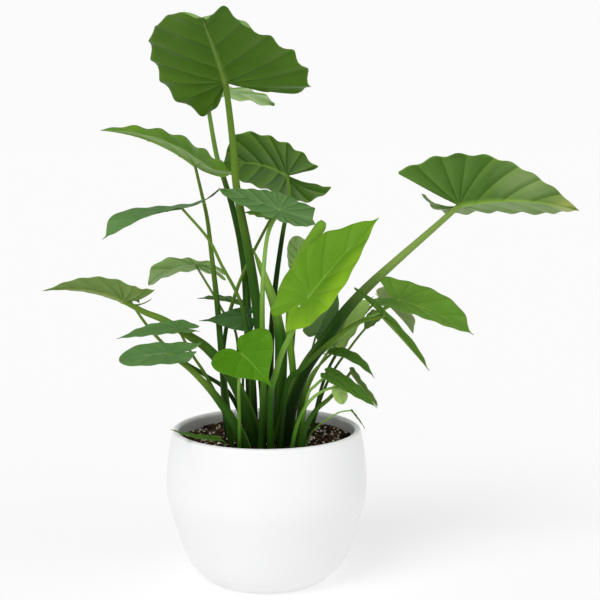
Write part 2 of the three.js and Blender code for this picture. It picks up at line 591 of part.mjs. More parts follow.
// The blade's middle surface: its points, with those that the two halves share merged, and its triangles
function bladeSurface(leaf) {
  const frame = leafFrame(leaf);
  const halves = [1, -1].map((side) => {
    const half = { ...leaf, ...(side > 0 ? leaf.left : leaf.right) };
    return { half, side, edges: halfOutline(half, frame.length) };
  });
  const ribShare = ({ along, out, halfWidth }) => (
    Math.max(0, along / frame.length - leaf.lag * Math.sqrt(Math.max(0, out) / halfWidth))
  );
  const ribStarts = halves[0].edges.map((edge, row) => (
    (frame.length * (ribShare(edge) + ribShare(halves[1].edges[row]))) / 2
  ));
  const points = [];
  const triangles = [];
  const known = new Map();
  const indexOf = (point) => {
    const key = point.toArray().map((v) => Math.round(v / BLADE_GRID)).join();
    if (!known.has(key)) {
      known.set(key, points.push(point) - 1);
    }
    return known.get(key);
  };
  halves.forEach(({ half, side, edges }) => {
    const rows = edges.map((edge, row) => half.columns.map((t) => (
      indexOf(bladePoint(half, frame, edge, ribStarts[row], t, side))
    )));
    for (let row = 0; row + 1 < rows.length; row += 1) {
      for (let column = 0; column + 1 < half.columns.length; column += 1) {
        const a = rows[row][column];
        const b = rows[row][column + 1];
        const c = rows[row + 1][column + 1];
        const d = rows[row + 1][column];
        triangles.push(...(side > 0 ? [[a, b, c], [a, c, d]] : [[a, c, b], [a, d, c]]));
      }
    }
  });
  return { points, triangles: triangles.filter(([a, b, c]) => a !== b && b !== c && c !== a) };
}

function bladeSolid(leaf) {
  const { points, triangles } = bladeSurface(leaf);
  const normals = points.map(() => new THREE.Vector3());
  triangles.forEach((triangle) => {
    const [a, b, c] = triangle.map((i) => points[i]);
    const normal = b.clone().sub(a).cross(c.clone().sub(a));
    triangle.forEach((i) => normals[i].add(normal));
  });
  normals.forEach((normal) => normal.normalize());
  const face = (offset) => points.map((point, i) => (
    point.clone().addScaledVector(normals[i], offset).toArray()
  ));
  const count = points.length;
  const under = triangles.map(([a, b, c]) => [a + count, c + count, b + count]);
  const directed = new Set(triangles.flatMap(([a, b, c]) => [`${a},${b}`, `${b},${c}`, `${c},${a}`]));
  const walls = [...directed].map((key) => key.split(',').map(Number))
    .filter(([a, b]) => !directed.has(`${b},${a}`))
    .flatMap(([a, b]) => [[b, a, a + count], [b, a + count, b + count]]);
  return solidOf(
    [...face(BLADE_THICKNESS / 2), ...face(-BLADE_THICKNESS / 2)],
    [...triangles, ...under, ...walls],
  );
}

// Cuts a stem off flat under its blade, with a gap to the blade's underside
function trimUnderBlade(stem, leaf, gap) {
  const { start, upper } = leafFrame(leaf);
  const under = upper.clone().negate();
  return stem.trimByPlane(under.toArray(), under.dot(start) + BLADE_THICKNESS / 2 + gap);
}

function largeLeaf(leaf) {
  const curve = stemCurve(leaf.path, leaf.joint);
  const stem = stemSolid(curve, leaf.radius, leaf.taper, 0, JOINT_OVERRUN);
  const grown = stemSolid(curve, leaf.radius, leaf.taper, CLEARANCE, JOINT_OVERRUN + CLEARANCE);
  const blade = bladeSolid(leaf).subtract(trimUnderBlade(grown, leaf, CLEARANCE / 2));
  return [
    meshOf(`leaf_${leaf.name}`, blade, leaf.look),
    meshOf(`stem_${leaf.name}`, trimUnderBlade(stem, leaf, CLEARANCE), STEM_GREEN),
  ];
}

function smallLeaf(leaf) {
  const stem = stemSolid(stemCurve(leaf.path, leaf.joint), leaf.radius, leaf.taper);
  return meshOf(`leaf_${leaf.name}`, bladeSolid(leaf).add(stem), leaf.look);
}

function spike({ name, path, radius, taper, look }) {
  return meshOf(name, stemSolid(stemCurve(path), radius, taper), look);
}

function soilHoles(plants) {
  return plants.map(({ path, joint, radius, taper }) => (
    stemSolid(stemCurve(path, joint), radius, taper, CLEARANCE)
  ));
}

const largeLeaves = LARGE_LEAVES.map((leaf) => ({ ...LEAF_DEFAULTS, ...leaf }));
const smallLeaves = SMALL_LEAVES.map((leaf) => ({ ...LEAF_DEFAULTS, columns: [0, 1], ...leaf }));

const plant = new THREE.Group();
plant.name = 'potted_alocasia';
plant.add(meshOf('pot', pot(), WHITE_GLAZE));
plant.add(meshOf('soil', soil(soilHoles([...largeLeaves, ...smallLeaves, ...SPIKES])), POTTING_SOIL));
plant.add(...largeLeaves.flatMap(largeLeaf));
plant.add(...smallLeaves.map(smallLeaf));
plant.add(...SPIKES.map(spike));

export default plant;
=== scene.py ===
import itertools
import math
import random

import bpy
import numpy as np
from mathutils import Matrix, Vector, noise
from numpy.linalg import norm


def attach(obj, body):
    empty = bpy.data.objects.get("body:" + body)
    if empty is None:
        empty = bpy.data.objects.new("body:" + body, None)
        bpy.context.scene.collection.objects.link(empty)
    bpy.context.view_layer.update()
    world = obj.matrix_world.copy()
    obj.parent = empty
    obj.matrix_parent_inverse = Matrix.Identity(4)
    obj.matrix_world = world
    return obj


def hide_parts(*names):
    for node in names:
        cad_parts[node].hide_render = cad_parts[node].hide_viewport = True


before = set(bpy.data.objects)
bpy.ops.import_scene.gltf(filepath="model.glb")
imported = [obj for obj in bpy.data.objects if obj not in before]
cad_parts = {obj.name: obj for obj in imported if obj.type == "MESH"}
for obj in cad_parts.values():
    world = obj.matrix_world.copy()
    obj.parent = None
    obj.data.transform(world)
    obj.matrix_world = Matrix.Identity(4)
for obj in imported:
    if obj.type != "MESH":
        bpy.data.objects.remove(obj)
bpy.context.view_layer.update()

MM = 0.001

# Camera, fitted to the photograph's view: place in metres, tilt in degrees, lens and sensor in millimetres
EYE = (0.05, -1.92, 0.67)
LOOK_DOWN = 7.35
LENS = 78.0
SENSOR = 36

# How brightly the floor glows, and the surround at the horizon and overhead
FLOOR_GLOW = 0.567
HORIZON_GLOW = 0.965
OVERHEAD_GLOW = 0.38

# Pot, in millimetres as the rest of the sizes here
POT_HEIGHT = 229
RIM_RADIUS = 142
WALL = 10
FLOOR = 12
FLOOR_ROUNDING = 6
POT_FOOT = [(0, 1.2), (78, 1.2), (82, 0), (87, 0), (89.6, 1.0)]
POT_OUTSIDE = [(90, 0), (121, 34), (147, 115), (151, 150), (147.5, 195), (142, 224)]
POT_TURNS = 160

# Soil: an uneven mound, heaped up towards the back, whose top is crumbly
SOIL_EDGE = 203
SOIL_RADIUS = 136
SOIL_TURNS = 220
SOIL_RINGS = 62
SOIL_CLEARANCE = 0.3
MOUND_HEIGHT = 13
MOUND_RADIUS = 110
BUMP_HEIGHT = 1.6
BROAD_WAVE = dict(x=0.11, y=0.13, shift=1.3)
FINE_WAVE = dict(x=0.31, y=0.23, share=0.5)
HEAP_HEIGHT = 8
HEAP_START = -20
HEAP_REACH = 120
CRUMB_HEIGHT = 2.4
CLOD_HEIGHT = 0.6

# Loose bits on the soil: their number, length, thickness as a share of it, colours, grain and seed
BITS = {
    "perlite": dict(seed=11, count=700, length=(1.8, 5.2), thick=(0.5, 0.9), grain=300.0, dark="d6cab4",
                    light="fffaf0"),
    "bark": dict(seed=12, count=620, length=(3.0, 10.0), thick=(0.25, 0.6), grain=140.0, dark="160e09",
                 light="7d5c42"),
}
BIT_LIFT = 0.4
# How far above and below the soil's top a stem keeps bits away, and how far its foot spreads, in radii
FOOT_REACH = 9
FOOT_SPREAD = 1.25
EDGE_CLEARANCE = 2

# The height at which stems start, inside the soil
ROOT_HEIGHT = 184

# The front of a half blade, from the tip to its widest place: shares of the length and of the half width
FRONTS = {
    "broad": [(1, 0), (0.945, 0.035), (0.87, 0.2), (0.72, 0.53), (0.5, 0.82), (0.22, 0.98), (-0.15, 1)],
    "blunt": [(1, 0), (0.985, 0.2), (0.92, 0.45), (0.76, 0.75), (0.5, 0.95), (0.22, 1), (-0.15, 0.97)],
    "narrow": [(1, 0), (0.9, 0.1), (0.75, 0.36), (0.6, 0.58), (0.42, 0.8), (0.2, 0.96), (-0.1, 1)],
    "curled_out": [(0.93, 0), (0.98, 0.1), (1.02, 0.28), (0.93, 0.49), (0.8, 0.68), (0.58, 0.89), (0.3, 1),
                   (-0.15, 0.97)],
    "curled_in": [(0.93, 0), (0.97, 0.12), (1.1, 0.3), (0.86, 0.44), (0.66, 0.62), (0.46, 0.82), (0.22, 0.96),
                  (-0.15, 1)],
    "slim": [(1, 0), (0.92, 0.09), (0.8, 0.25), (0.6, 0.48), (0.4, 0.7), (0.18, 0.88), (-0.2, 1)],
    "square": [(1, 0), (0.97, 0.2), (0.93, 0.45), (0.86, 0.76), (0.72, 0.94), (0.5, 0.97), (0.2, 0.97),
               (-0.1, 1)],
    "tailed": [(1, 0), (0.93, 0.05), (0.88, 0.28), (0.8, 0.62), (0.62, 0.88), (0.35, 1), (-0.1, 0.98)],
    "forward": [(1, 0), (0.95, 0.16), (0.87, 0.45), (0.74, 0.84), (0.55, 1), (0.3, 0.92), (-0.05, 0.72)],
    "plump": [(1, 0), (0.93, 0.08), (0.86, 0.3), (0.7, 0.57), (0.54, 0.9), (0.34, 1), (0.05, 1),
              (-0.15, 0.95)],
    "rear": [(1, 0), (0.92, 0.08), (0.8, 0.22), (0.6, 0.42), (0.4, 0.62), (0.18, 0.86), (-0.2, 1)],
    "fan": [(1, 0), (0.98, 0.3), (0.93, 0.65), (0.82, 0.95), (0.62, 1), (0.35, 0.75), (0, 0.42)],
    "spade": [(1, 0), (0.93, 0.04), (0.8, 0.1), (0.66, 0.3), (0.5, 0.55), (0.3, 0.82), (0.1, 0.98),
              (-0.15, 1)],
}

# The back of a half blade, as shares of its lobe and half width. A lobe whose end is wide has an open notch
SHOULDER_BACK = 0.55
SHOULDER_GROWTH = 1.15
CORNER_BACK = 0.88
CORNER_WIDENING = 0.26
OPEN_FROM = 0.34
OPEN_SPAN = 0.3
# Two places in the notch: how far back, how far out where it is closed and how much more where it is open
NOTCH = [(0.7, 0.36, 0.34), (0.3, 0.1, 0.2)]

# joint and tip are where a blade meets its stem and where it ends, and faces is the way its upper side
# looks. width is across both halves, and wide a half's share of its own. lobe is how far the lobes reach
# behind the joint, lobe_end and lobe_wide how far out they end and how broad they are, sweep their lean to
# a side, and sinus how much of the notch between them has grown together. In degrees, fold lifts a half,
# cup curls it up, droop and lobe_droop bend tip and lobes down, and twist turns the tip. In millimetres,
# wave moves the margin up and down and pleat puffs up the skin between veins. scallop moves the margin in
# and out, bow bends the veins forward, lag sets back where they leave the midrib, and veins counts a half's
# panels. look and stem_look name colours. yellow, brown and pale are shares of tints, and dark is a share
# of painted shade. contrast is how strongly the panels' painted shade and painted highlight show, and glow
# how much painted light that comes through brightens the skin. left and right change one half, as seen
# from the joint with the upper side up. path leads the stem from ROOT_HEIGHT to just under the joint,
# radius is its radius at root and top, and a large taper thins it early.
LEAF_DEFAULTS = dict(
    front="broad", wide=1, fold=12, cup=10, droop=20, twist=0, lobe_droop=10, lobe_end=0.36, lobe_wide=0.86,
    sweep=0, sinus=0, veins=6, wave=1, scallop=0.008, pleat=1.4, bow=0.12, lag=0.42, taper=1, look="green",
    stem_look="olive", yellow=0, brown=0, pale=0, contrast=0.3, glow=0.12, dark=0, left={}, right={},
)
LEAVES = [
    dict(name="top", joint=(-57, -30, 741), tip=(-84, -150, 828), faces=(0.1, 0.65, 0.76), width=236,
         lobe=70, cup=12, droop=14, lobe_droop=0, veins=9, wave=4, scallop=0.024, bow=0, lag=0.45,
         look="shade", contrast=0.36, glow=0.45,
         right=dict(front="curled_out", wide=0.86, fold=2, lobe_end=0.46),
         left=dict(glow=0.2, front="curled_in", wide=1.04, fold=-6, lobe=38, lobe_end=0.85, lobe_droop=-40),
         path=[(0, -18), (-2, -17, 274), (-7, -16, 349), (-15, -16, 424), (-26, -16, 498), (-42, -18, 586),
               (-47, -22, 650), (-52, -26, 700)], radius=(10, 4.2), taper=1.2),
    dict(name="top_back", joint=(-94, 92, 729), tip=(11, 70, 710), faces=(0, -0.22, 1), width=84, lobe=30,
         front="blunt", fold=0, cup=0, droop=38, look="sheen", contrast=0.9, stem_look="tall", wave=3,
         path=[(-22, 18), (-30, 20, 420), (-38, 34, 495), (-52, 60, 554), (-66, 86, 596), (-79, 98, 636)],
         radius=(8, 3)),
    dict(name="upper_left", joint=(-105, 10, 621), tip=(-238, -30, 673), faces=(0.25, 0.04, 0.95),
         width=104, lobe=72, front="narrow", fold=28, cup=-10, droop=35, lobe_droop=-62, veins=8, wave=2.5,
         look="fresh", left=dict(wave=0.5, wide=0.6, fold=20, pale=0.8),
         right=dict(front="rear", glow=0.6, wave=3, wide=1.62, lobe_droop=-36),
         path=[(-48, -20), (-62, -10, 288), (-68, -6, 355), (-74, 2, 422), (-81, 10, 482), (-88, 16, 541),
               (-96, 14, 580)], radius=(6.5, 2)),
    dict(name="middle_left", joint=(-122, -30, 561), tip=(-236, -50, 516), faces=(-0.25, 0.04, 1), width=76,
         lobe=66, front="tailed", fold=3, cup=0, droop=32, twist=-75, lobe_droop=-44, sinus=0.9,
         look="blue", left=dict(wide=0.2), right=dict(wide=0.95, fold=9), veins=7,
         path=[(-16, 0), (-18, -14, 291), (-24, -25, 358), (-34, -29, 411), (-44, -28, 439),
               (-64, -27, 476), (-84, -28, 516)], radius=(3.5, 1.8)),
    dict(name="back", joint=(31, 70, 605), tip=(-67, 85, 623), faces=(0.05, 0.62, 0.8), width=160, lobe=52,
         front="square", fold=0, droop=50, lobe_droop=0, veins=10, wave=2, scallop=0.012, pleat=2.4,
         lag=0.4, look="pleated", contrast=1, glow=0.3, stem_look="dark",
         left=dict(wide=0.88, lobe=54, lobe_end=0.85),
         right=dict(front="blunt", wide=0.72, fold=-10, lobe=70, lobe_end=0.42, sweep=-0.25, lobe_droop=-50),
         path=[(2, 40), (6, 38, 350), (12, 40, 432), (20, 50, 493), (26, 60, 530), (34, 70, 570)],
         radius=(6.5, 2.8)),
    dict(name="centre", joint=(20, -20, 558), tip=(-66, -50, 590), faces=(-0.3, -0.7, 0.8), width=84,
         lobe=56, front="blunt", cup=8, droop=6, lobe_droop=-14, sinus=0.95, lobe_end=0.5, veins=8,
         wave=1.5, look="blue", contrast=0.9, stem_look="bright", left=dict(wide=0.85, lobe_end=0.36),
         right=dict(front="slim", wide=0.68, lobe_end=0.7),
         path=[(-8, -64), (-3, -52, 311), (-5, -44, 384), (-4, -36, 456), (3, -30, 522)], radius=(6, 2.6)),
    dict(name="front", joint=(65, -110, 444), tip=(161, -100, 552), faces=(-0.3, -0.8, 0.55), width=102,
         lobe=60, front="plump", fold=10, cup=-6, droop=14, sinus=0.63, scallop=0.004, wave=1.5,
         sweep=-0.36, look="lime", contrast=0.26, glow=0.25, stem_look="early",
         left=dict(wide=0.97, lobe_end=0.17, lobe_wide=0.6),
         right=dict(glow=1, front="narrow", fold=24, wide=0.98, lobe_end=0.66, lobe_wide=1.04), veins=7,
         path=[(8, -72), (7, -80, 287), (16, -88, 330), (26, -92, 362), (44, -104, 400)], radius=(6, 3)),
    dict(name="heart", joint=(-31, -130, 363), tip=(11, -160, 322), faces=(0, -0.75, 0.65), width=94,
         lobe=28, front="spade", fold=6, droop=30, sinus=0.2, scallop=0.004, look="vivid", contrast=0.14,
         stem_look="bright", left=dict(wide=1.06), right=dict(wide=1.02),
         path=[(-38, -88), (-37, -90, 259), (-37, -104, 312)], radius=(3, 2)),
    dict(name="right", joint=(285, 0, 563), tip=(460, -10, 556), faces=(0, 0.53, 0.85), width=200, lobe=90,
         fold=18, cup=0, droop=34, veins=11, wave=3, scallop=0.012, pleat=2, lag=0.45, look="pleated",
         contrast=0.35, glow=0.1, stem_look="pale",
         left=dict(front="forward", wide=0.74, fold=14, lobe=71, lobe_droop=-85, lobe_end=0.3,
                   lobe_wide=0.45, pale=0.6),
         right=dict(front="slim", wide=0.98, lobe_end=0.85, fold=22, lobe_droop=-4),
         path=[(22, -34), (28, -32, 240), (42, -26, 290), (60, -20, 328), (88, -15, 366), (119, -10, 409),
               (154, -6, 446), (198, -3, 486), (246, 0, 528)], radius=(14, 4), taper=1.3),
    dict(name="lower_right", joint=(200, 30, 418), tip=(313, 20, 366), faces=(0.15, -0.45, 0.85), width=88,
         lobe=42, fold=8, cup=12, droop=24, sinus=0.3, lobe_end=0.5, scallop=0.004, look="fresh",
         stem_look="bright", left=dict(front="tailed", lobe_end=0.9, wide=0.98), right=dict(wide=0.94),
         veins=7, path=[(44, 8), (58, 12, 310), (88, 10, 347), (126, 10, 379), (165, 18, 400)],
         radius=(5, 2.5)),
    dict(name="folded", joint=(171, -48, 404), tip=(238, -64, 327), faces=(0.75, 0.25, 0.6), width=29,
         lobe=60, front="tailed", fold=36, droop=5, wave=0.8, right=dict(wide=0.8),
         path=[(18, -62), (30, -54, 300), (52, -50, 327), (74, -49, 349), (95, -49, 368), (117, -49, 385),
               (139, -49, 397)], radius=(5, 2.5)),
    dict(name="far_left", joint=(-212, -5, 421), tip=(-328, -25, 439), faces=(0.1, 0.33, 0.93), width=88,
         lobe=50, fold=24, cup=8, droop=38, lobe_droop=-46, scallop=0.004, pleat=2, veins=9, look="dull",
         left=dict(front="narrow", lobe_end=0.85, wide=0.93),
         right=dict(fold=2, wide=0.8, lobe_end=0.6, lobe_droop=-75),
         path=[(-14, -44), (-24, -40, 250), (-44, -36, 300), (-66, -32, 332), (-90, -24, 356),
               (-116, -16, 372), (-151, -9, 393), (-181, -6, 405)], radius=(12, 3.5), taper=1.1),
    dict(name="left_narrow", joint=(-127, -50, 386), tip=(-215, -62, 374), faces=(-0.1, -0.3, 0.93),
         width=60, lobe=32, fold=-4, cup=16, droop=12, look="blue", left=dict(wide=0.5),
         right=dict(wide=0.92), veins=7,
         path=[(-44, -50), (-62, -48, 262), (-87, -48, 316), (-107, -49, 348)], radius=(3, 1.8)),
    dict(name="left_round", joint=(-137, -92, 357), tip=(-204, -120, 351), faces=(-0.1, -0.5, 0.85),
         width=62, lobe=46, front="blunt", fold=-4, cup=16, lobe_droop=-26, look="blue",
         left=dict(wide=0.9, lobe=40, lobe_end=0.2), right=dict(wide=0.85, lobe=54),
         path=[(-26, -70), (-34, -74, 226), (-51, -77, 262), (-73, -80, 295), (-92, -84, 318),
               (-112, -88, 338)], radius=(10, 3), taper=1.2),
    dict(name="pale_left", joint=(-109, 44, 471), tip=(-178, 20, 443), faces=(-0.3, 0.45, 0.85), width=66,
         lobe=52, front="blunt", fold=4, cup=14, droop=50, lobe_droop=50, wave=2, look="silver",
         contrast=0.9, left=dict(front="fan", wide=1.05, lobe_end=0.15, lobe_wide=0.4), right=dict(fold=0),
         veins=7,
         path=[(-42, 26), (-44, 34, 330), (-50, 35, 375), (-63, 34, 394), (-81, 35, 426), (-94, 39, 447)],
         radius=(2.4, 1.6)),
    dict(name="pale_right", joint=(172, 52, 420), tip=(223, 46, 365), faces=(0.3, -0.1, 0.9), width=36,
         lobe=10, fold=10, veins=5, look="withered", left=dict(front="square", wide=2.3),
         right=dict(wide=0.6), path=[(60, 22), (90, 50, 300), (140, 62, 380)], radius=(3, 1.8)),
]

# Small leaves are each one node with their stem
SMALL_LEAVES = [
    dict(name="pale_inner", joint=(102, 42, 352), tip=(162, 36, 424), faces=(-0.4, -0.7, 0.4), width=54,
         lobe=10, fold=6, cup=20, wave=2, look="pale", path=[(42, 40), (62, 42, 280)], stem_look="bright",
         radius=(3, 1.8)),
    dict(name="far_left_small", joint=(-216, 72, 417), tip=(-266, 80, 426), faces=(0.1, 0.2, 0.9), width=40,
         lobe=20, fold=10, cup=8, veins=5, wave=2,
         path=[(-20, 52), (-56, 38, 270), (-96, 26, 305), (-128, 24, 326), (-162, 38, 354), (-187, 54, 379)],
         radius=(4, 1.8)),
    dict(name="centre_back", joint=(8, 16, 545), tip=(-34, 12, 552), faces=(0, 0.5, 0.85), width=32, lobe=8,
         fold=6, veins=5, wave=1.5, look="fresh",
         path=[(-58, 8), (-67, 9, 302), (-61, 10, 377), (-46, 8, 432), (-30, 8, 472), (-7, 12, 517)],
         stem_look="olive", radius=(4, 2)),
    dict(name="dark_left", joint=(-35, 54, 407), tip=(-109, 76, 415), faces=(0, 0.4, 1), width=44, lobe=14,
         fold=4, droop=22, path=[(-4, 60), (-14, 60, 300), (-30, 57, 376)], radius=(3.5, 1.8)),
    dict(name="hanging_left", joint=(-28, -6, 400), tip=(-100, -16, 393), faces=(-0.2, -0.9, 0.3), width=50,
         lobe=9, front="spade", fold=4, droop=10, wave=1.5, look="dusk", right=dict(wide=0.55),
         path=[(-34, 2), (-36, 4, 280), (-34, 3, 340)], radius=(2.5, 1.5)),
    dict(name="pale_centre", joint=(50, 35, 469), tip=(44, 25, 516), faces=(0.1, 0.8, 0.5), width=38,
         lobe=8, front="blunt", fold=8, droop=10, wave=1.5, look="silver", contrast=0.9,
         path=[(28, 30), (36, 34, 300), (44, 36, 400)], radius=(2.5, 1.5)),
    dict(name="behind_front", joint=(75, 32, 367), tip=(108, 28, 437), faces=(0.1, -0.9, 0.3), width=44,
         lobe=10, fold=8, veins=5, look="blue", left=dict(pale=0.35), right=dict(dark=0.35),
         path=[(50, 24), (58, 27, 290), (68, 30, 340)], radius=(2.5, 1.5)),
    dict(name="grey", joint=(166, 34, 394), tip=(147, 30, 372), faces=(-0.3, -0.6, 0.7), width=26, lobe=8,
         fold=6, veins=5, look="dull", path=[(56, 10), (90, 22, 290), (130, 34, 350)], radius=(2.5, 1.5)),
    dict(name="small_upper", joint=(97, -45, 350), tip=(158, -70, 317), faces=(0.1, -0.25, 0.95), width=32,
         lobe=10, fold=8, cup=16, droop=60, veins=5, wave=0.8, left=dict(wide=0.95), right=dict(wide=1.3),
         path=[(38, -56), (56, -54, 285), (66, -52, 318), (84, -48, 338)], radius=(3, 1.6)),
    dict(name="small_lower", joint=(92, -62, 322), tip=(162, -80, 275), faces=(0.2, -0.5, 0.8), width=40,
         lobe=10, fold=8, wave=0.8, left=dict(wide=0.66), path=[(44, -70), (60, -66, 285), (72, -64, 305)],
         stem_look="bright", radius=(3, 1.8)),
    dict(name="round_pale", joint=(107, -66, 304), tip=(113, -60, 277), faces=(-0.3, 0.9, 0.1), width=24,
         lobe=6, front="blunt", fold=5, droop=10, veins=4, wave=0.6, look="pale",
         path=[(34, -82), (43, -80, 240), (54, -79, 270), (67, -76, 288), (86, -70, 300)],
         stem_look="bright", radius=(3.5, 1.8)),
    dict(name="narrow_right", joint=(126, -20, 318), tip=(165, -30, 267), faces=(0.6, 0.3, 0.6), width=20,
         lobe=6, front="square", fold=25, cup=5, droop=-10, veins=5, wave=0.8, look="dull",
         path=[(50, -84), (57, -78, 240), (72, -66, 268), (92, -52, 283), (110, -38, 300)], radius=(5, 2)),
    dict(name="thread", joint=(125, -70, 270), tip=(144, -86, 246), faces=(0.6, 0.2, 0.5), width=5, lobe=2,
         fold=20, cup=5, droop=5, veins=4, wave=0.5,
         path=[(60, -60), (62, -58, 225), (78, -59, 246), (94, -60, 257), (108, -64, 266)],
         stem_look="bright", radius=(1.6, 1)),
    dict(name="ground", joint=(-66, -60, 224), tip=(-134, -112, 252), faces=(0, -0.4, 1), width=16, lobe=4,
         cup=5, droop=-20, veins=4, path=[(-56, -60), (-59, -60, 216)], radius=(1.6, 1.4)),
]

LEAVES = [{**LEAF_DEFAULTS, **leaf} for leaf in LEAVES]
SMALL_LEAVES = [{**LEAF_DEFAULTS, **leaf} for leaf in SMALL_LEAVES]

# The leaf that is still rolled up and the sheath, which are made as stems that end in a point
ROLLED = dict(path=[(36, -6), (40, -6, 300), (34, -14, 380), (40, -30, 450), (50, -32, 489), (84, -40, 542)],
              radius=(4, 8), taper=0.6)
SHEATH = dict(path=[(13, 4), (20, 6, 300), (21, 4, 360), (13, 0, 410), (0, -2, 450), (-20, -1, 500)],
              radius=(12, 2), taper=0.55)

# What marks a blade, as whole halves or in spots: kind, centre in millimetres and reach. contrast
# strengthens the panels' painted shade and painted highlight, glow is painted light that comes through, and
# dark is painted shade.
MARKS = ("yellow", "brown", "pale", "contrast", "glow", "dark")
SPOTS = {
    "top": [("pale", (-84, -150, 828), 14), ("pale", (12, -70, 792), 10)],
    "top_back": [("dark", (11, 70, 710), 12), ("dark", (-30, 96, 712), 14)],
    "right": [("contrast", (410, -35, 585), 130), ("yellow", (450, -8, 553), 44),
              ("yellow", (395, -40, 600), 16), ("yellow", (430, -30, 545), 30),
              ("pale", (385, -40, 585), 66), ("dark", (190, -20, 600), 22), ("dark", (222, 20, 575), 26),
              ("dark", (275, -62, 636), 15), ("dark", (305, -62, 638), 15)],
    "middle_left": [("dark", (-77, -28, 586), 30)],
    "back": [("brown", (-20, 60, 690), 26), ("brown", (64, 30, 660), 16)],
    "upper_left": [("brown", (-160, -20, 640), 16)],
}
# A hole in a blade: its centre and its radius
HOLES = {"front": ((48, -112, 429), 2)}
# Stretches of margin that curl over on to the under side: half, start and end by share, and width
LIPS = {"top": [(-1, 0.005, 0.07, 9), (1, 0.005, 0.06, 8), (1, 0.2, 0.27, 7)]}

# Leaf looks: upper side, under side, vein, midrib and how glossy. sheen's colours are paled as a painted
# sheen
LEAF_LOOKS = {
    "green": ("446e20", "4f7626", "6f9440", "7f9c4c", 0.16),
    "fresh": ("5b872b", "5b8d2a", "7aa845", "8fb050", 0.16),
    "vivid": ("467a10", "4f8518", "66982c", "79a63c", 0.07),
    "lime": ("5c8a1d", "6a9a2b", "79a238", "8bb04a", 0.07),
    "shade": ("42661d", "446a1a", "587d2b", "748f3c", 0.2),
    "pleated": ("42661d", "4c7428", "6a923a", "86ab48", 0.2),
    "blue": ("527a42", "4d7538", "6f9459", "7f9c60", 0.25),
    "dusk": ("36592c", "2f5026", "4a6e3e", "55794a", 0.2),
    "dull": ("718d4c", "6d8a44", "859c58", "93a25e", 0.25),
    "silver": ("8bad62", "93b868", "9bb57c", "a5bb84", 0.3),
    "sheen": ("7ea458", "84a960", "b2cb94", "d2e0bb", 0.4),
    "pale": ("9cc062", "a2c66c", "9fb870", "a8b878", 0.2),
    "withered": ("95a968", "95a968", "b4bf8a", "adb47c", 0.2),
}
# What a leaf's marks turn its skin towards: tints, and for dark a painted shade
TINTS_AND_PAINTED_SHADE = {"pale": "a9bd82", "yellow": "b8b96a", "brown": "8a7448", "dark": "1d3214"}
# Stem looks: foot, middle, top and how far up the top's colour starts. The feet are darkened partly with
# painted shade, where the stems crowd together
STEM_LOOKS = {
    "olive": ("1c360d", "305619", "63822f", 0.55),
    "pale": ("132608", "27471a", "7f9c4c", 0.55),
    "tall": ("132608", "2c5016", "86ad52", 0.72),
    "early": ("1f400c", "33601a", "7ba544", 0.46),
    "dark": ("12260b", "1f3d13", "6d9438", 0.8),
    "bright": ("1f400c", "5a882c", "86ad52", 0.55),
    "sheath": ("1c4410", "376a1c", "8cb64c", 0.62),
    "young": ("355c14", "5f8f2a", "6f9c30", 0.3),
}
# Painted highlight along the sheaths' wings, and painted shade in their channels
STEM_WING_PAINTED_HIGHLIGHT = "78a83a"
STEM_CHANNEL_PAINTED_SHADE = "14240a"


def linear(code):
    """The linear colour of a six-digit web colour."""
    parts = [int(code[i:i + 2], 16) / 255 for i in (0, 2, 4)]
    return tuple(p / 12.92 if p <= 0.04045 else ((p + 0.055) / 1.055) ** 2.4 for p in parts) + (1,)


# Curves

def walked(line):
    """How far along a line each of its points lies."""
    return np.concatenate([[0], np.cumsum(norm(np.diff(line, axis=0), axis=1))])


def smooth_curve(points, shares):
    """Points at shares of the length of a uniform Catmull-Rom curve through the given points."""
    p = np.asarray(points, float)
    p = np.vstack([2 * p[0] - p[1], p, 2 * p[-1] - p[-2]])
    t = np.linspace(0, 1, 40, endpoint=False)[:, None]
    parts = []
    for a, b, c, d in zip(p[:-3], p[1:-2], p[2:-1], p[3:]):
        parts.append(b + 0.5 * t * (c - a) + t ** 2 * (a - 2.5 * b + 2 * c - 0.5 * d)
                     + t ** 3 * (1.5 * b - 0.5 * a - 1.5 * c + 0.5 * d))
    fine = np.vstack(parts + [p[-2:-1]])
    along = walked(fine)
    at = np.asarray(shares) * along[-1]
    return np.stack([np.interp(at, along, column) for column in fine.T], 1)


def arc(distance, reach, bend):
    """How far along, down and turned a point is on a strip that bends evenly over its reach."""
    if abs(bend) < 1e-6:
        return distance, distance * 0, distance * 0
    turn = bend * distance / reach
    return np.sin(turn) * reach / bend, (1 - np.cos(turn)) * reach / bend, turn


def unit(v):
    """Vectors of length one, one a row."""
    return v / norm(v, axis=-1, keepdims=True)


# Pieces

def added(name, data):
    """A new object, linked to the scene."""
    thing = bpy.data.objects.new(name, data)
    bpy.context.scene.collection.objects.link(thing)
    return thing


def squares(rows, columns, start=0, closed=False):
    """The squares between rows of points, or between rings where they are closed."""
    faces = []
    for first in range(start, start + (rows - 1) * columns, columns):
        for j in range(columns if closed else columns - 1):
            a, b = first + j, first + (j + 1) % columns
            faces.append((a, b, b + columns, a + columns))
    return faces


def piece(name, points, faces, material, nodes, layers=None, smooth=True):
    """Adds a mesh in millimetres that rides on the plant and stands for CAD nodes."""
    mesh = bpy.data.meshes.new(name)
    mesh.from_pydata((np.asarray(points) * MM).tolist(), [], faces)
    mesh.polygons.foreach_set("use_smooth", [smooth] * len(mesh.polygons))
    for key, values in (layers or {}).items():
        layer = mesh.attributes.new(key, "FLOAT_VECTOR", "POINT")
        layer.data.foreach_set("vector", np.asarray(values, float).ravel())
    mesh.validate()
    mesh.materials.append(material)
    thing = added(name, mesh)
    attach(thing, "root")
    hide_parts(*nodes)


# Blades

# The margin's waves start a little apart on the two halves
WAVE_PHASE = 0.1
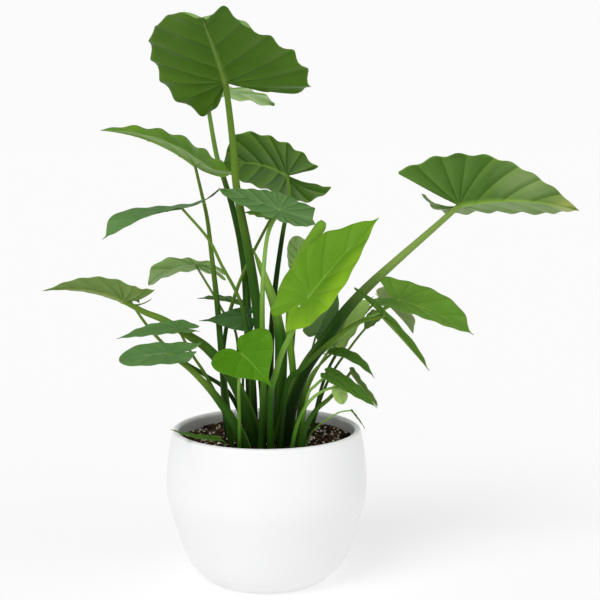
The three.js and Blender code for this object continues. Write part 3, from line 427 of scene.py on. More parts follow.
# How far in front of the joint the veins' bow is full, as a share of the blade's length
BOW_REACH = 0.35
# Veins this far apart have full pleats between them
PLEAT_SPACING = 14
# How many rows to either side a value is averaged over
EVENED_ROWS = 8


def evened(values):
    """Values by row and column, averaged over the rows about them."""
    weights = np.hanning(2 * EVENED_ROWS + 3)[1:-1]
    padded = np.pad(values, ((EVENED_ROWS, EVENED_ROWS), (0, 0)), mode="edge")
    columns = [np.convolve(column, weights / weights.sum(), "valid") for column in padded.T]
    return np.stack(columns, 1)


def leaf_frame(leaf):
    """The rows forward, left and up of a leaf at its joint, and its midrib's length."""
    start = np.array(leaf["joint"], float)
    chord = np.array(leaf["tip"], float) - start
    to_tip = unit(chord)
    up = np.array(leaf["faces"], float)
    up = unit(up - to_tip * (up @ to_tip))
    half = math.radians(leaf["droop"]) / 2
    length = norm(chord) * (half / math.sin(half) if half else 1)
    forward = to_tip * math.cos(half) + up * math.sin(half)
    upper = up * math.cos(half) - to_tip * math.sin(half)
    return np.array([forward, np.cross(upper, forward), upper]), length


def lobe_shares(half):
    """The margin of a lobe, from its shoulder to its notch, as shares of its reach and of the half width."""
    end = half["lobe_end"]
    spread = min(1, max(0, (end - OPEN_FROM) / OPEN_SPAN))
    shares = [
        (-SHOULDER_BACK, max(half["lobe_wide"], min(1, end * SHOULDER_GROWTH))),
        (-CORNER_BACK, end + CORNER_WIDENING * (1 - end)),
        (-1, end),
    ]
    for back, closed, opening in NOTCH:
        shares.append((-half["sinus"] - back * (1 - half["sinus"]), end * (closed + opening * spread)))
    return shares + [(-half["sinus"], 0)]


def half_outline(half, length, phi):
    """Along and out of the margin of half a blade at shares of its length."""
    shares = FRONTS[half["front"]] + lobe_shares(half)
    half_width = half["width"] / 2 * half["wide"]
    points = [(a * (length if a > 0 else half["lobe"]), b * half_width) for a, b in shares]
    edge = smooth_curve(points, phi)
    edge[:, 1] *= 1 + half["scallop"] * np.cos(2 * np.pi * half["veins"] * phi) * np.sqrt(np.sin(np.pi * phi))
    return edge, half_width


def half_blade(half, frame_rows, length, edge, half_width, rib, phi, t, side):
    """The middle surface of half a blade, as rows along the margin by columns out from the midrib."""
    margin = edge[:, :1]
    out = edge[:, 1:]
    eased = np.clip(margin / (BOW_REACH * length), 0, 1)
    bowed = half["bow"] * eased ** 2 * (3 - 2 * eased) * length * t * (1 - t) * out / half_width
    a = rib + (margin - rib) * t - bowed
    b = out * t
    lift = math.radians(half["fold"])
    curl = math.radians(half["cup"]) + 1e-4
    y = half_width / curl * (np.sin(lift + curl * b / half_width) - math.sin(lift))
    z = -half_width / curl * (np.cos(lift + curl * b / half_width) - math.cos(lift))
    rows = phi[:, None]
    rim = np.maximum(np.sin(np.pi * rows), 0) ** 0.6
    z = z + half["wave"] * t ** 2.5 * rim * np.sin(2 * np.pi * (half["veins"] * rows + WAVE_PHASE * side))
    step = np.hypot(np.gradient(a, axis=0), np.gradient(b, axis=0))
    spacing = evened(step / np.gradient(rows * half["veins"], axis=0))
    between = np.abs(np.sin(np.pi * half["veins"] * rows)) ** 0.7 - 0.5
    z = z + half["pleat"] * np.minimum(1, spacing / PLEAT_SPACING) * np.sin(np.pi * t ** 0.6) * rim * between
    y = y * side + half["sweep"] * np.minimum(a, 0)
    roll = math.radians(half["twist"]) * a * np.abs(a) / length ** 2
    y, z = y * np.cos(roll) - z * np.sin(roll), y * np.sin(roll) + z * np.cos(roll)
    ahead = arc(np.maximum(a, 0), length, math.radians(half["droop"]))
    behind = arc(np.maximum(-a, 0), max(half["lobe"], 1), math.radians(half["lobe_droop"]))
    turn = ahead[2] - behind[2]
    along = ahead[0] - behind[0] + z * np.sin(turn)
    local = np.stack([along, y, z * np.cos(turn) - ahead[1] - behind[1]], -1)
    return np.array(half["joint"], float) + local @ frame_rows


# Where the rows lie between two veins, closer together at the veins
ROW_STEPS = (0, 0.035, 0.08, 0.15, 0.26, 0.4, 0.55, 0.7, 0.82, 0.9, 0.95, 0.98)
# The columns between midrib and margin
COLUMNS = (0, 0.012, 0.028, 0.05, 0.08, 0.12, 0.17, 0.23, 0.3, 0.38, 0.47, 0.56, 0.65, 0.74, 0.82, 0.89,
           0.95, 1)
BLADE_HALF_THICKNESS = 0.3
# The skin thins to this share over the last share of the way to the margin
MARGIN_THINNING = 0.35
MARGIN_SHARE = 0.06
# A main vein's height on the under side, where the blade and the space between veins are at least so wide
RIDGE_HEIGHT = 0.85
RIDGE_BLADE_WIDTH = 110
RIDGE_SPACING = 8
# The groove above a vein, as a share of its ridge
GROOVE_SHARE = 0.25

LIP_ROWS = 16
LIP_COLUMNS = 7
LIP_HALF_TURNS = 0.85
LIP_FLATNESS = 0.7
LIP_HALF_THICKNESS = 0.25


def closed_faces(faces, count):
    """The faces of a sheet's two sides, each of so many points, and of the rim that joins them."""
    edges = {(face[k], face[(k + 1) % len(face)]) for face in faces for k in range(len(face))}
    rim = [(b, a, a + count, b + count) for a, b in sorted(edges) if (b, a) not in edges]
    return list(faces) + [tuple(k + count for k in face[::-1]) for face in faces] + rim


def leaf_layers(grid, data, marks):
    """What a leaf's material reads at each point."""
    return {"leaf_grid": grid, "leaf_data": data, "leaf_tint": marks[:, :3], "leaf_light": marks[:, 3:]}


def lip_piece(name, sheet, phi, side, start, end, width, nodes):
    """A curled stretch of margin, which shows the blade's upper side from below."""
    shares = np.linspace(start, end, LIP_ROWS)
    margin, inner = (np.stack([np.interp(shares, phi, sheet[:, k, axis]) for axis in range(3)], 1)
                     for k in (-1, -4))
    inward = unit(inner - margin)
    under = unit(side * np.cross(inward, np.gradient(margin, axis=0)))
    reach = width / 2 * np.sin(np.pi * np.linspace(0, 1, LIP_ROWS))[:, None, None] + 0.05
    turn = np.linspace(0, LIP_HALF_TURNS * np.pi, LIP_COLUMNS)[None, :, None]
    curl = (1 - np.cos(turn)) * inward[:, None] + LIP_FLATNESS * np.sin(turn) * under[:, None]
    roll = margin[:, None] + reach * curl
    skins = [(roll + way * LIP_HALF_THICKNESS * under[:, None]).reshape(-1, 3) for way in (1, -1)]
    faces = [face[::side] for face in squares(LIP_ROWS, LIP_COLUMNS)]
    count = LIP_ROWS * LIP_COLUMNS
    grid = np.tile([0.5, 1.0, 0.6], (2 * count, 1))
    grid[:, 1] = np.tile(np.repeat(shares, LIP_COLUMNS) * 20, 2)
    layers = leaf_layers(grid, np.tile([1.0, 1.0, 0.0], (2 * count, 1)), np.zeros((2 * count, 6)))
    points = np.vstack(skins)
    piece(name, points, closed_faces(faces, count), LEAF_MATERIALS["sheen"], nodes, layers)


def welded(points, faces):
    """Which points to keep where several share a place, and the faces on those that are kept."""
    _, kept, same = np.unique(np.round(points, 2), axis=0, return_index=True, return_inverse=True)
    same = same.ravel()
    rings = [tuple(dict.fromkeys(int(same[k]) for k in face)) for face in faces]
    return kept, [ring for ring in rings if len(ring) > 2]


def corner_normals(points, faces):
    """The normal at each point, averaged over the triangles that meet there."""
    normals = np.zeros_like(points)
    for face in faces:
        for k in range(1, len(face) - 1):
            corners = [face[0], face[k], face[k + 1]]
            a, b, c = points[corners]
            normals[corners] += np.cross(b - a, c - a)
    return normals / (norm(normals, axis=1)[:, None] + 1e-12)


def vein_relief(leaf, grids, datas):
    """How far veins and midrib stand out below, and how much each point belongs to the midrib."""
    spacing, from_rib, along = datas.T
    nearest = np.round(grids[:, 0])
    to_vein = np.abs(grids[:, 0] - nearest) * spacing
    real_vein = (nearest > 0) & (nearest < leaf["veins"])
    fade = 1 - 0.8 * grids[:, 2]
    size = min(1, leaf["width"] / RIDGE_BLADE_WIDTH)
    crowd = np.minimum(1, spacing / RIDGE_SPACING) ** 1.5
    profile = np.exp(-(to_vein / (0.8 + 0.8 * fade * size)) ** 2)
    ridge = RIDGE_HEIGHT * size * fade * crowd * profile * real_vein
    thick = leaf["radius"][1] * (1 - np.minimum(along, 1)) ** 0.8 + 0.35
    midrib = np.sqrt(np.maximum(0, thick ** 2 - from_rib ** 2))
    return ridge, midrib, np.exp(-(from_rib / (thick * 1.1)) ** 2)


def blade_piece(leaf, nodes):
    """A blade with raised veins and midrib below, as one closed mesh."""
    frame_rows, length = leaf_frame(leaf)
    veins = leaf["veins"]
    phi = np.array([(k + step) / veins for k in range(veins) for step in ROW_STEPS] + [1.0])
    t = np.array([COLUMNS])
    halves = []
    for side, changes in ((1, leaf["left"]), (-1, leaf["right"])):
        half = {**leaf, **changes}
        halves.append((half, side, *half_outline(half, length, phi)))
    ribs = [np.maximum(0, edge[:, 0] / length - leaf["lag"] * np.sqrt(edge[:, 1] / half_width))
            for _, _, edge, half_width in halves]
    rib = (length * (ribs[0] + ribs[1]) / 2)[:, None]
    count = len(phi) * len(COLUMNS)
    parts, faces = [], []
    for half, side, edge, half_width in halves:
        sheet = half_blade(half, frame_rows, length, edge, half_width, rib, phi, t, side)
        for k, (lip_side, *stretch) in enumerate(LIPS.get(leaf["name"], ())):
            if lip_side == side:
                lip_piece(f"lip_{leaf['name']}_{k}", sheet, phi, side, *stretch, nodes)
        from_rib = norm(sheet - sheet[:, :1], axis=2)
        spacing = evened(norm(np.gradient(sheet, phi * veins, axis=0), axis=2))
        faces += [face[::side] for face in squares(len(phi), len(COLUMNS), len(parts) * count)]
        values = np.broadcast_arrays(*np.moveaxis(sheet, 2, 0), (phi * veins)[:, None], from_rib / 10, t,
                                     spacing, from_rib, rib / length, *(half[key] for key in MARKS))
        parts.append(np.stack(values, -1).reshape(count, -1))
    # The halves share the midrib, and the rows that fan out from the joint share it
    values = np.vstack(parts)
    kept, faces = welded(values[:, :3], faces)
    points, grids, datas, marks = np.split(values[kept], (3, 6, 9), axis=1)
    if leaf["name"] in HOLES:
        points, faces = with_hole(points, faces, *HOLES[leaf["name"]])
    normals = corner_normals(points, faces)
    ridge, midrib, on_rib = vein_relief(leaf, grids, datas)
    skin = BLADE_HALF_THICKNESS * np.clip((1 - grids[:, 2]) / MARGIN_SHARE, MARGIN_THINNING, 1)
    upper = points + normals * (skin - GROOVE_SHARE * ridge * (1 - on_rib))[:, None]
    under = points - normals * (skin + ridge + midrib)[:, None]
    n = len(points)
    sides = [np.stack([datas[:, 0] / 10, np.full(n, on_top), on_rib], 1) for on_top in (1.0, 0.0)]
    marks = with_spots(leaf, points, marks)
    layers = leaf_layers(np.vstack([grids] * 2), np.vstack(sides), np.vstack([marks] * 2))
    material = LEAF_MATERIALS[leaf["look"]]
    skins = np.vstack([upper, under])
    piece(f"blade_{leaf['name']}", skins, closed_faces(faces, n), material, nodes, layers)


def with_spots(leaf, points, marks):
    """A blade's marks, with those of its spots added."""
    marks = marks.copy()
    for kind, centre, reach in SPOTS.get(leaf["name"], ()):
        distance = norm(points - np.array(centre), axis=1)
        marks[:, MARKS.index(kind)] += np.clip(1.6 - 1.6 * distance / reach, 0, 1)
    return np.clip(marks, 0, 1)


def with_hole(points, faces, centre, radius):
    """Leaves out the faces round the corner nearest to a centre, and draws their rim on to a circle."""
    points = points.copy()
    middle = int(np.argmin(norm(points - np.array(centre, float), axis=1)))
    kept = [face for face in faces if middle not in face]
    rim = {k for face in faces if middle in face for k in face} - {middle}
    for k in rim:
        away = points[k] - points[middle]
        points[k] = points[middle] + away * radius / norm(away)
    return points, kept


# Stems

STEM_TURNS = 20
STEM_RING_SPACING = 5
STEM_RINGS_AT_LEAST = 24
# A stem's inner side looks towards the pot's axis, at a point this far above the place on the stem
INNER_SIDE_RISE = 90


def stem_line(stem, shares):
    """Points at shares of the length of a stem's middle line."""
    (x, y), *rest = stem["path"]
    end = [stem["joint"]] if "joint" in stem else []
    return smooth_curve([(x, y, ROOT_HEIGHT)] + rest + end, shares)


def stem_radius(stem, shares):
    """A stem's radius at shares of its length."""
    root, top = stem["radius"]
    return top + (root - top) * (1 - shares) ** stem["taper"]


def stem_piece(name, stem, look, nodes, point_end=0, seam=0):
    """A stem whose foot is a sheath with a channel along its inner side."""
    ends = stem_line(stem, [0, 1])
    rings = max(STEM_RINGS_AT_LEAST, int(norm(ends[1] - ends[0]) / STEM_RING_SPACING))
    u = np.linspace(0, 1, rings)
    line = stem_line(stem, u)
    along = unit(np.gradient(line, axis=0))
    inward = np.stack([-line[:, 0], -line[:, 1], np.full(rings, float(INNER_SIDE_RISE))], 1) / INNER_SIDE_RISE
    side = unit(inward - along * np.sum(inward * along, 1)[:, None])
    across = np.cross(along, side)
    theta = np.linspace(-np.pi, np.pi, STEM_TURNS, endpoint=False)[None, :]
    r = stem_radius(stem, u)[:, None]
    sheath = (np.clip((0.5 - u) / 0.28, 0, 1) * min(1, stem["radius"][0] / 8))[:, None]
    channel = np.exp(-(theta / 0.55) ** 2)
    wings = np.exp(-((np.abs(theta) - 0.95) / 0.28) ** 2)
    shape = r * (1 - 0.34 * sheath * channel + 0.16 * sheath * wings + 0.05 * np.cos(2 * theta))
    # A rolled leaf's seam is a step that opens near its end
    opening = 1 + 2.6 * np.clip((u - 0.86) / 0.12, 0, 1)[:, None] ** 2
    shape = shape + seam * r * opening * np.clip(theta / np.pi, 0, 1) ** (1 + opening)
    if point_end:
        shape = shape * np.clip((1.01 - u) / point_end, 0, 1)[:, None] ** 0.6
    cos, sin = np.cos(theta), np.sin(theta)
    ways = cos[..., None] * side[:, None] + sin[..., None] * across[:, None]
    points = line[:, None] + shape[..., None] * ways
    grid = np.stack(np.broadcast_arrays(cos * r / 10, sin * r / 10, (walked(line) / 10)[:, None]), -1)
    data = np.stack(np.broadcast_arrays(u[:, None], sheath * wings, sheath * channel), -1)
    last = (rings - 1) * STEM_TURNS
    faces = squares(rings, STEM_TURNS, closed=True)
    faces += [tuple(range(STEM_TURNS))[::-1], tuple(range(last, last + STEM_TURNS))]
    piece(name, points.reshape(-1, 3), faces, STEM_MATERIALS[look], nodes,
          {"stem_grid": grid.reshape(-1, 3), "stem_data": data.reshape(-1, 3)})


# Materials

class Nodes:
    """Adds nodes to a material or a world, so that it reads as a list of steps."""

    def __init__(self, name, world=False):
        self.made = (bpy.data.worlds if world else bpy.data.materials).new(name)
        self.made.use_nodes = True
        self.tree = self.made.node_tree
        self.shader = self.tree.nodes["Background" if world else "Principled BSDF"]

    def put(self, kind, inputs=(), **settings):
        node = self.tree.nodes.new("ShaderNode" + kind)
        for key, value in settings.items():
            setattr(node, key, value)
        self.fill(node, dict(inputs))
        return node

    def fill(self, node, inputs):
        """Sets a node's inputs. A socket is linked, and a web colour made linear."""
        for key, value in inputs.items():
            if isinstance(value, bpy.types.NodeSocket):
                self.tree.links.new(value, node.inputs[key])
            else:
                node.inputs[key].default_value = linear(value) if isinstance(value, str) else value

    def parts(self, vector):
        return self.put("SeparateXYZ", {0: vector}).outputs

    def attribute(self, name):
        return self.parts(self.put("Attribute", attribute_name=name).outputs["Vector"])

    def math(self, operation, a, b=0):
        return self.put("Math", {0: a, 1: b}, operation=operation).outputs[0]

    def times(self, a, b):
        return self.math("MULTIPLY", a, b)

    def span(self, value, low, high, to_low=0, to_high=1):
        inputs = {"Value": value, "From Min": low, "From Max": high, "To Min": to_low, "To Max": to_high}
        return self.put("MapRange", inputs, interpolation_type="SMOOTHSTEP").outputs[0]

    def mix(self, share, a, b, blend="MIX"):
        return self.put("Mix", {0: share, 6: a, 7: b}, data_type="RGBA", blend_type=blend).outputs[2]

    def vector(self, x, y, z):
        return self.put("CombineXYZ", {0: x, 1: y, 2: z}).outputs[0]

    def noise(self, vector, scale, detail=3, rough=0.55):
        inputs = {"Vector": vector, "Scale": scale, "Detail": detail, "Roughness": rough}
        return self.put("TexNoise", inputs).outputs["Fac"]

    def place(self, kind="Object"):
        return self.put("TexCoord").outputs[kind]

    def bump(self, height, strength, distance):
        inputs = {"Height": height, "Strength": strength, "Distance": distance}
        self.fill(self.shader, {"Normal": self.put("Bump", inputs).outputs[0]})

    def finish(self, colour, roughness, specular=0.5, tint=(1, 1, 1, 1)):
        self.fill(self.shader, {"Specular IOR Level": specular, "Specular Tint": tint})
        self.fill(self.shader, {"Base Color": colour, "Roughness": roughness})
        return self.made


def leaf_material(name, upper, under, vein, rib, gloss):
    """Leaf skin: veins and a midrib that follow the blade's own grid, with a fine network between them."""
    n = Nodes(f"leaf_{name}")
    vp, out, t = n.attribute("leaf_grid")
    spacing, on_top, on_rib = n.attribute("leaf_data")
    yellow, brown, pale = n.attribute("leaf_tint")
    contrast, glow, dark = n.attribute("leaf_light")
    place = n.place()
    blotch = n.noise(place, 14, 4)
    fine = n.noise(place, 160, 3)
    base = n.mix(on_top, under, upper)
    # Painted light that comes through: a brighter skin, most of it towards the margin
    lit = n.times(n.span(t, 0.2, 0.9), n.span(n.noise(place, 9, 2), 0.35, 0.62))
    base = n.mix(n.times(lit, glow), base, n.mix(1, base, (2.1, 1.7, 1.3, 1), "MULTIPLY"))
    half_pale = n.mix(n.times(pale, 0.3), base, TINTS_AND_PAINTED_SHADE["pale"])
    # A darker skin, for the blotches' random tone and for painted shade
    deep = n.mix(1, half_pale, (0.5, 0.62, 0.36, 1), "MULTIPLY")
    base = n.mix(n.times(pale, 0.62), base, TINTS_AND_PAINTED_SHADE["pale"])
    base = n.mix(n.times(yellow, 0.75), base, TINTS_AND_PAINTED_SHADE["yellow"])
    base = n.mix(n.span(blotch, 0.35, 0.7, 0, 0.35), base, deep)
    base = n.mix(n.span(fine, 0.3, 0.75, 0, 0.1), base, vein)
    # Painted pleat shading on the panels between the veins: painted shade just behind a vein, and a painted
    # highlight towards the next
    panel = n.math("FRACT", vp)
    shaded = n.times(n.span(panel, 0, 0.34, 0.85, 0), n.span(panel, 0, 0.02))
    base = n.mix(n.times(shaded, contrast), base, deep)
    light = n.span(panel, 0.45, 0.97, 0, 0.34)
    base = n.mix(n.times(light, contrast), base, rib)
    # Side veins and the net between them
    lines = n.times(n.math("PINGPONG", n.times(vp, 5), 0.5), 2)
    side_vein = n.span(lines, 0, 0.3, 0.09, 0)
    net_place = n.vector(n.times(vp, 5), n.times(out, 1.6), on_top)
    net = n.put("TexVoronoi", {"Vector": net_place, "Scale": 1.4}, feature="DISTANCE_TO_EDGE")
    net = n.span(net.outputs["Distance"], 0, 0.12, 1, 0)
    # On the under side the vein lines take the darker skin, painted as veins look with light coming through
    line_colour = n.mix(on_top, deep, vein)
    base = n.mix(n.math("ADD", n.times(net, 0.06), side_vein), base, line_colour)
    # Main veins: the distance to the nearest one in centimetres
    to_vein = n.times(n.math("PINGPONG", vp, 0.5), spacing)
    width = n.span(t, 0, 1, 0.11, 0.05)
    main = n.span(n.math("SUBTRACT", 1, n.math("DIVIDE", to_vein, width)), 0, 1)
    main = n.times(main, n.span(on_top, 0, 1, 0.75, 0.42))
    base = n.mix(main, base, line_colour)
    rib_share = n.math("POWER", on_rib, n.span(on_top, 0, 1, 1, 3))
    base = n.mix(n.times(rib_share, n.span(on_top, 0, 1, 0.85, 0.6)), base, rib)
    base = n.mix(n.span(t, 0.975, 1, 0, 0.4), base, rib)
    base = n.mix(n.times(brown, 0.6), base, TINTS_AND_PAINTED_SHADE["brown"])
    # Painted shade where a leaf has its dark mark
    base = n.mix(n.times(dark, 0.7), base, TINTS_AND_PAINTED_SHADE["dark"])
    rough = n.math("ADD", n.span(blotch, 0.3, 0.7, 0.38, 0.5), n.times(fine, 0.08))
    height = n.math("ADD", n.times(net, -0.35), n.times(fine, 0.6))
    n.bump(n.math("ADD", height, n.times(side_vein, -2.5)), 0.35, 0.0005)
    return n.finish(base, rough, gloss, (0.8, 1, 0.55, 1))


def stem_material(name, foot, middle, top, top_from):
    """Fleshy stem: lengthwise streaks, darker at the foot partly as painted shade, and tinged at the top."""
    n = Nodes(f"stem_{name}")
    x, y, z = n.attribute("stem_grid")
    u, wing, channel = n.attribute("stem_data")
    drawn_out = n.vector(n.times(x, 9), n.times(y, 9), n.times(z, 0.35))
    streak = n.noise(drawn_out, 3)
    blotch = n.noise(n.place(), 22, 4)
    base = n.mix(n.span(u, 0.1, 0.45), foot, middle)
    height = n.math("ADD", u, n.times(blotch, 0.16))
    base = n.mix(n.span(height, top_from, top_from + 0.3), base, top)
    streaked = n.mix(1, base, (0.55, 0.62, 0.45, 1), "MULTIPLY")
    base = n.mix(n.span(streak, 0.35, 0.7, 0, 0.4), base, streaked)
    # Painted highlight along the sheath's wings and painted shade in its channel
    base = n.mix(n.times(wing, 0.5), base, STEM_WING_PAINTED_HIGHLIGHT)
    base = n.mix(n.times(channel, 0.5), base, STEM_CHANNEL_PAINTED_SHADE)
    rough = n.span(streak, 0.3, 0.7, 0.36, 0.5)
    n.bump(n.math("ADD", streak, n.times(blotch, 0.4)), 0.3, 0.0006)
    return n.finish(base, rough, 0.06, (0.8, 1, 0.5, 1))


def pot_material():
    """White satin glaze, with faint rings from its making."""
    n = Nodes("pot_glaze")
    place = n.place()
    _, _, z = n.parts(place)
    rings = n.noise(n.vector(0, 0, n.times(z, 260)), 1, 2)
    cloud = n.noise(place, 9, 3)
    speck = n.noise(place, 420, 2)
    base = n.mix(n.span(cloud, 0.3, 0.7, 0, 0.5), "ececed", "e8e8e8")
    base = n.mix(n.span(rings, 0.4, 0.7, 0, 0.15), base, "e2e2e2")
    rough = n.span(cloud, 0.3, 0.7, 0.3, 0.4)
    n.bump(n.math("ADD", n.times(rings, 0.6), n.times(speck, 0.12)), 0.12, 0.0004)
    return n.finish(base, rough)


def soil_material():
    """Dark crumbs with browner patches."""
    n = Nodes("potting_soil")
    place = n.place()
    crumb = n.noise(place, 130, 8, 0.7)
    patch = n.noise(place, 30, 4)
    base = n.mix(n.span(crumb, 0.42, 0.68), "0f0a07", "5a4533")
    base = n.mix(n.span(patch, 0.45, 0.75, 0, 0.6), base, "22160f")
    n.bump(crumb, 0.9, 0.002)
    return n.finish(base, n.span(patch, 0.3, 0.7, 0.85, 0.98), 0.05)


def bits_material(name, dark, light, grain_scale):
    """Rough grain between two colours."""
    n = Nodes(name)
    grain = n.noise(n.place(), grain_scale, 5)
    n.bump(grain, 0.6, 0.0008)
    colour = n.mix(n.span(grain, 0.35, 0.7), dark, light)
    return n.finish(colour, n.span(grain, 0.3, 0.7, 0.8, 0.95), 0.1)


LEAF_MATERIALS = {name: leaf_material(name, *colours) for name, colours in LEAF_LOOKS.items()}
STEM_MATERIALS = {name: stem_material(name, *colours) for name, colours in STEM_LOOKS.items()}


# Pot and soil

def turned(profile, turns):
    """A closed body turned from a profile that starts and ends on the axis."""
    angles = np.linspace(0, 2 * np.pi, turns, endpoint=False)
    inner = np.array(profile[1:-1])
    rings = np.stack([inner[:, :1] * np.cos(angles), inner[:, :1] * np.sin(angles),
                      np.broadcast_to(inner[:, 1:], (len(inner), turns))], -1)
    points = np.vstack([[(0, 0, profile[0][1])], rings.reshape(-1, 3), [(0, 0, profile[-1][1])]])
    last = len(points) - 1
    faces = [(0, 1 + (j + 1) % turns, 1 + j) for j in range(turns)]
    faces += squares(len(inner), turns, 1, closed=True)
    start = 1 + (len(inner) - 1) * turns
    faces += [(start + j, start + (j + 1) % turns, last) for j in range(turns)]
    return points, faces


def wall_profile(inset):
    """The pot's wall from its foot to its lip, set in by a distance."""
    line = smooth_curve(POT_OUTSIDE, np.linspace(0, 1, 40))
    along = unit(np.gradient(line, axis=0))
    return np.stack([line[:, 0] - along[:, 1] * inset, line[:, 1] + along[:, 0] * inset], 1)


def pot():
    """The pot: foot, outside, round lip, inside and floor in one turned body."""
    lip_centre = np.array([RIM_RADIUS - WALL / 2, POT_HEIGHT - WALL / 2])
    lip = [lip_centre + WALL / 2 * np.array([math.cos(a), math.sin(a)])
           for a in np.linspace(0.15, np.pi - 0.15, 12)]
    outside = wall_profile(0)[1:]
    inside = [p for p in wall_profile(WALL) if p[1] > FLOOR + FLOOR_ROUNDING][::-1]
    floor_edge = inside[-1][0]
    bottom = [(floor_edge - 5, FLOOR + 2), (floor_edge - 12, FLOOR), (0, FLOOR)]
    profile = POT_FOOT + [tuple(p) for p in (*outside, *lip, *inside)] + bottom
    points, faces = turned(profile, POT_TURNS)
    piece("pot_body", points, faces, pot_material(), ["pot"])


def soil_height(x, y):
    """How high the soil's top is at a place, crumbs apart."""
    out = np.hypot(x, y) / MOUND_RADIUS
    mound = MOUND_HEIGHT * (1 - np.minimum(1, out * out))
    broad = np.sin(BROAD_WAVE["x"] * x + BROAD_WAVE["shift"]) * np.cos(BROAD_WAVE["y"] * y)
    fine = FINE_WAVE["share"] * np.sin(FINE_WAVE["x"] * x + FINE_WAVE["y"] * y)
    heap = HEAP_HEIGHT * np.clip((y - HEAP_START) / HEAP_REACH, 0, 1)
    return SOIL_EDGE + mound + BUMP_HEIGHT * (broad + fine) + heap


def soil():
    """The soil's fill, with a crumbly top."""
    low, high = FLOOR + FLOOR_ROUNDING, SOIL_EDGE - 2
    wall = [tuple(p) for p in wall_profile(WALL + SOIL_CLEARANCE) if low < p[1] < high]
    bottom = [(0, FLOOR + 0.5), (wall[0][0] - 12, FLOOR + 0.5)]
    top = [(r, SOIL_EDGE) for r in (*np.linspace(SOIL_RADIUS, 2, SOIL_RINGS), 0)]
    points, faces = turned(bottom + wall + top, SOIL_TURNS)
    for p in points:
        if p[2] > SOIL_EDGE - 0.5:
            crumb = noise.fractal(Vector(p * 0.09), 0.8, 2.1, 5)
            clod = noise.cell(Vector(p * 0.12))
            p[2] = soil_height(p[0], p[1]) + CRUMB_HEIGHT * crumb + CLOD_HEIGHT * clod
    piece("soil_fill", points, faces, soil_material(), ["soil"])


def stem_feet():
    """Places where the stems pass through the top of the soil, and how wide they are there."""
    feet = []
    for stem in LEAVES + SMALL_LEAVES + [ROLLED, SHEATH]:
        shares = np.linspace(0, 0.4, 80)
        line = stem_line(stem, shares)
        near = np.abs(line[:, 2] - soil_height(line[:, 0], line[:, 1])) < FOOT_REACH
        feet.append(np.column_stack([line[near, :2], FOOT_SPREAD * stem_radius(stem, shares)[near]]))
    return np.vstack(feet)


BLOCK_FACES = [(0, 1, 3, 2), (4, 6, 7, 5), (0, 4, 5, 1), (2, 3, 7, 6), (0, 2, 6, 4), (1, 5, 7, 3)]


def block_corners(pick, kind):
    """The corners of an uneven block about its middle, tipped and spun at random."""
    length = pick.uniform(*kind["length"])
    axes = np.array([length, length * pick.uniform(0.4, 0.9), length * pick.uniform(*kind["thick"])]) / 2
    turn = Vector((pick.gauss(0, 0.3), pick.gauss(0, 0.3), 1)).to_track_quat("Z", "Y").to_matrix()
    spin = pick.uniform(0, 2 * math.pi)
    corners = []
    for signs in itertools.product((-1, 1), repeat=3):
        x, y, z = axes * signs * [pick.uniform(0.55, 1) for _ in range(3)]
        spun = (x * math.cos(spin) - y * math.sin(spin), x * math.sin(spin) + y * math.cos(spin), z)
        corners.append(np.array(turn @ Vector(spun)))
    return corners


def bits(name, kind):
    """Small loose bits that lie on the soil, clear of the stems and of the pot, each an uneven block."""
    pick = random.Random(kind["seed"])
    feet = stem_feet()
    points = []
    faces = []
    for _ in range(kind["count"]):
        distance = SOIL_RADIUS * pick.uniform(0, 1) ** 0.5
        angle = pick.uniform(0, 2 * math.pi)
        x, y = distance * math.cos(angle), distance * math.sin(angle)
        corners = block_corners(pick, kind)
        reach = max(math.hypot(q[0], q[1]) for q in corners)
        clear_of_stems = np.all(np.hypot(feet[:, 0] - x, feet[:, 1] - y) > feet[:, 2] + reach)
        if clear_of_stems and distance + reach < SOIL_RADIUS - EDGE_CLEARANCE:
            start = len(points)
            points += [q + (x, y, float(soil_height(x, y)) + BIT_LIFT) for q in corners]
            faces += [tuple(start + k for k in face) for face in BLOCK_FACES]
    material = bits_material(name, kind["dark"], kind["light"], kind["grain"])
    piece(name, points, faces, material, ["soil"], smooth=False)


# The room: a pale floor, two soft lamps and a bright surround

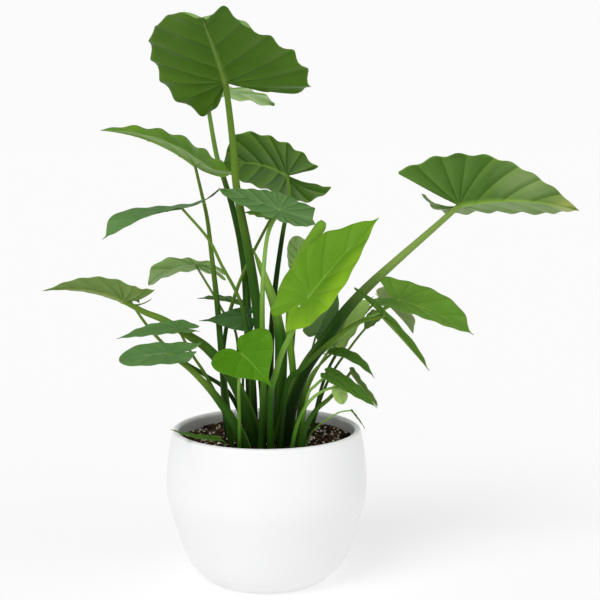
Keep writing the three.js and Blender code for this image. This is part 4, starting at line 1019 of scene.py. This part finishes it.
def floor():
    """A pale floor that glows a little, so that it meets the surround without a seam."""
    n = Nodes("floor_paper")
    grain = n.noise(n.place(), 3.0, 3.0)
    n.fill(n.shader, {"Emission Color": (1, 1, 1, 1), "Emission Strength": FLOOR_GLOW})
    paper = n.mix(n.span(grain, 0.3, 0.7, 0.0, 0.1), (0.45, 0.45, 0.45, 1), (0.44, 0.44, 0.44, 1))
    material = n.finish(paper, 0.9, 0.0)
    mesh = bpy.data.meshes.new("floor")
    mesh.from_pydata([(-60, -60, 0), (60, -60, 0), (60, 60, 0), (-60, 60, 0)], [], [(0, 1, 2, 3)])
    mesh.materials.append(material)
    sheet = added("floor", mesh)


def surround():
    """A bright band round the horizon, dimmer overhead."""
    n = Nodes("surround", world=True)
    bpy.context.scene.world = n.made
    _, _, up = n.parts(n.place("Generated"))
    strength = n.span(up, 0.14, 0.45, HORIZON_GLOW, OVERHEAD_GLOW)
    n.fill(n.shader, {"Color": (1, 1, 1, 1), "Strength": strength})


def lamp(name, towards, energy, spread):
    """A distant soft light that shines towards a direction."""
    light = added(name, bpy.data.lights.new(name, "SUN"))
    light.data.energy = energy
    light.data.angle = math.radians(spread)
    light.rotation_euler = Vector(towards).to_track_quat("-Z", "Y").to_euler()


def camera():
    """The camera of the photograph's view."""
    eye = added("eye", bpy.data.cameras.new("eye"))
    eye.location = EYE
    eye.rotation_euler = (math.radians(90 - LOOK_DOWN), 0, 0)
    eye.data.lens = LENS
    eye.data.sensor_width = SENSOR
    bpy.context.scene.camera = eye


camera()
pot()
soil()
for name, kind in BITS.items():
    bits(name, kind)
# A large leaf's stem is a node of its own, and a small leaf is one node with its stem
for leaves, stem_node in ((LEAVES, "stem"), (SMALL_LEAVES, "leaf")):
    for leaf in leaves:
        name = leaf["name"]
        blade_piece(leaf, [f"leaf_{name}"])
        stem_piece(f"petiole_{name}", leaf, leaf["stem_look"], [f"{stem_node}_{name}"])
stem_piece("rolled_leaf", ROLLED, "young", ["leaf_rolled"], point_end=0.03, seam=0.2)
stem_piece("sheath_wrap", SHEATH, "sheath", ["sheath"], point_end=0.12)
floor()
surround()
lamp("key", (0.42, 0.6, -0.75), 1.58, 34)
lamp("fill", (-0.7, 0.5, -0.6), 0.55, 60)
bpy.context.scene.view_settings.view_transform = "Standard"
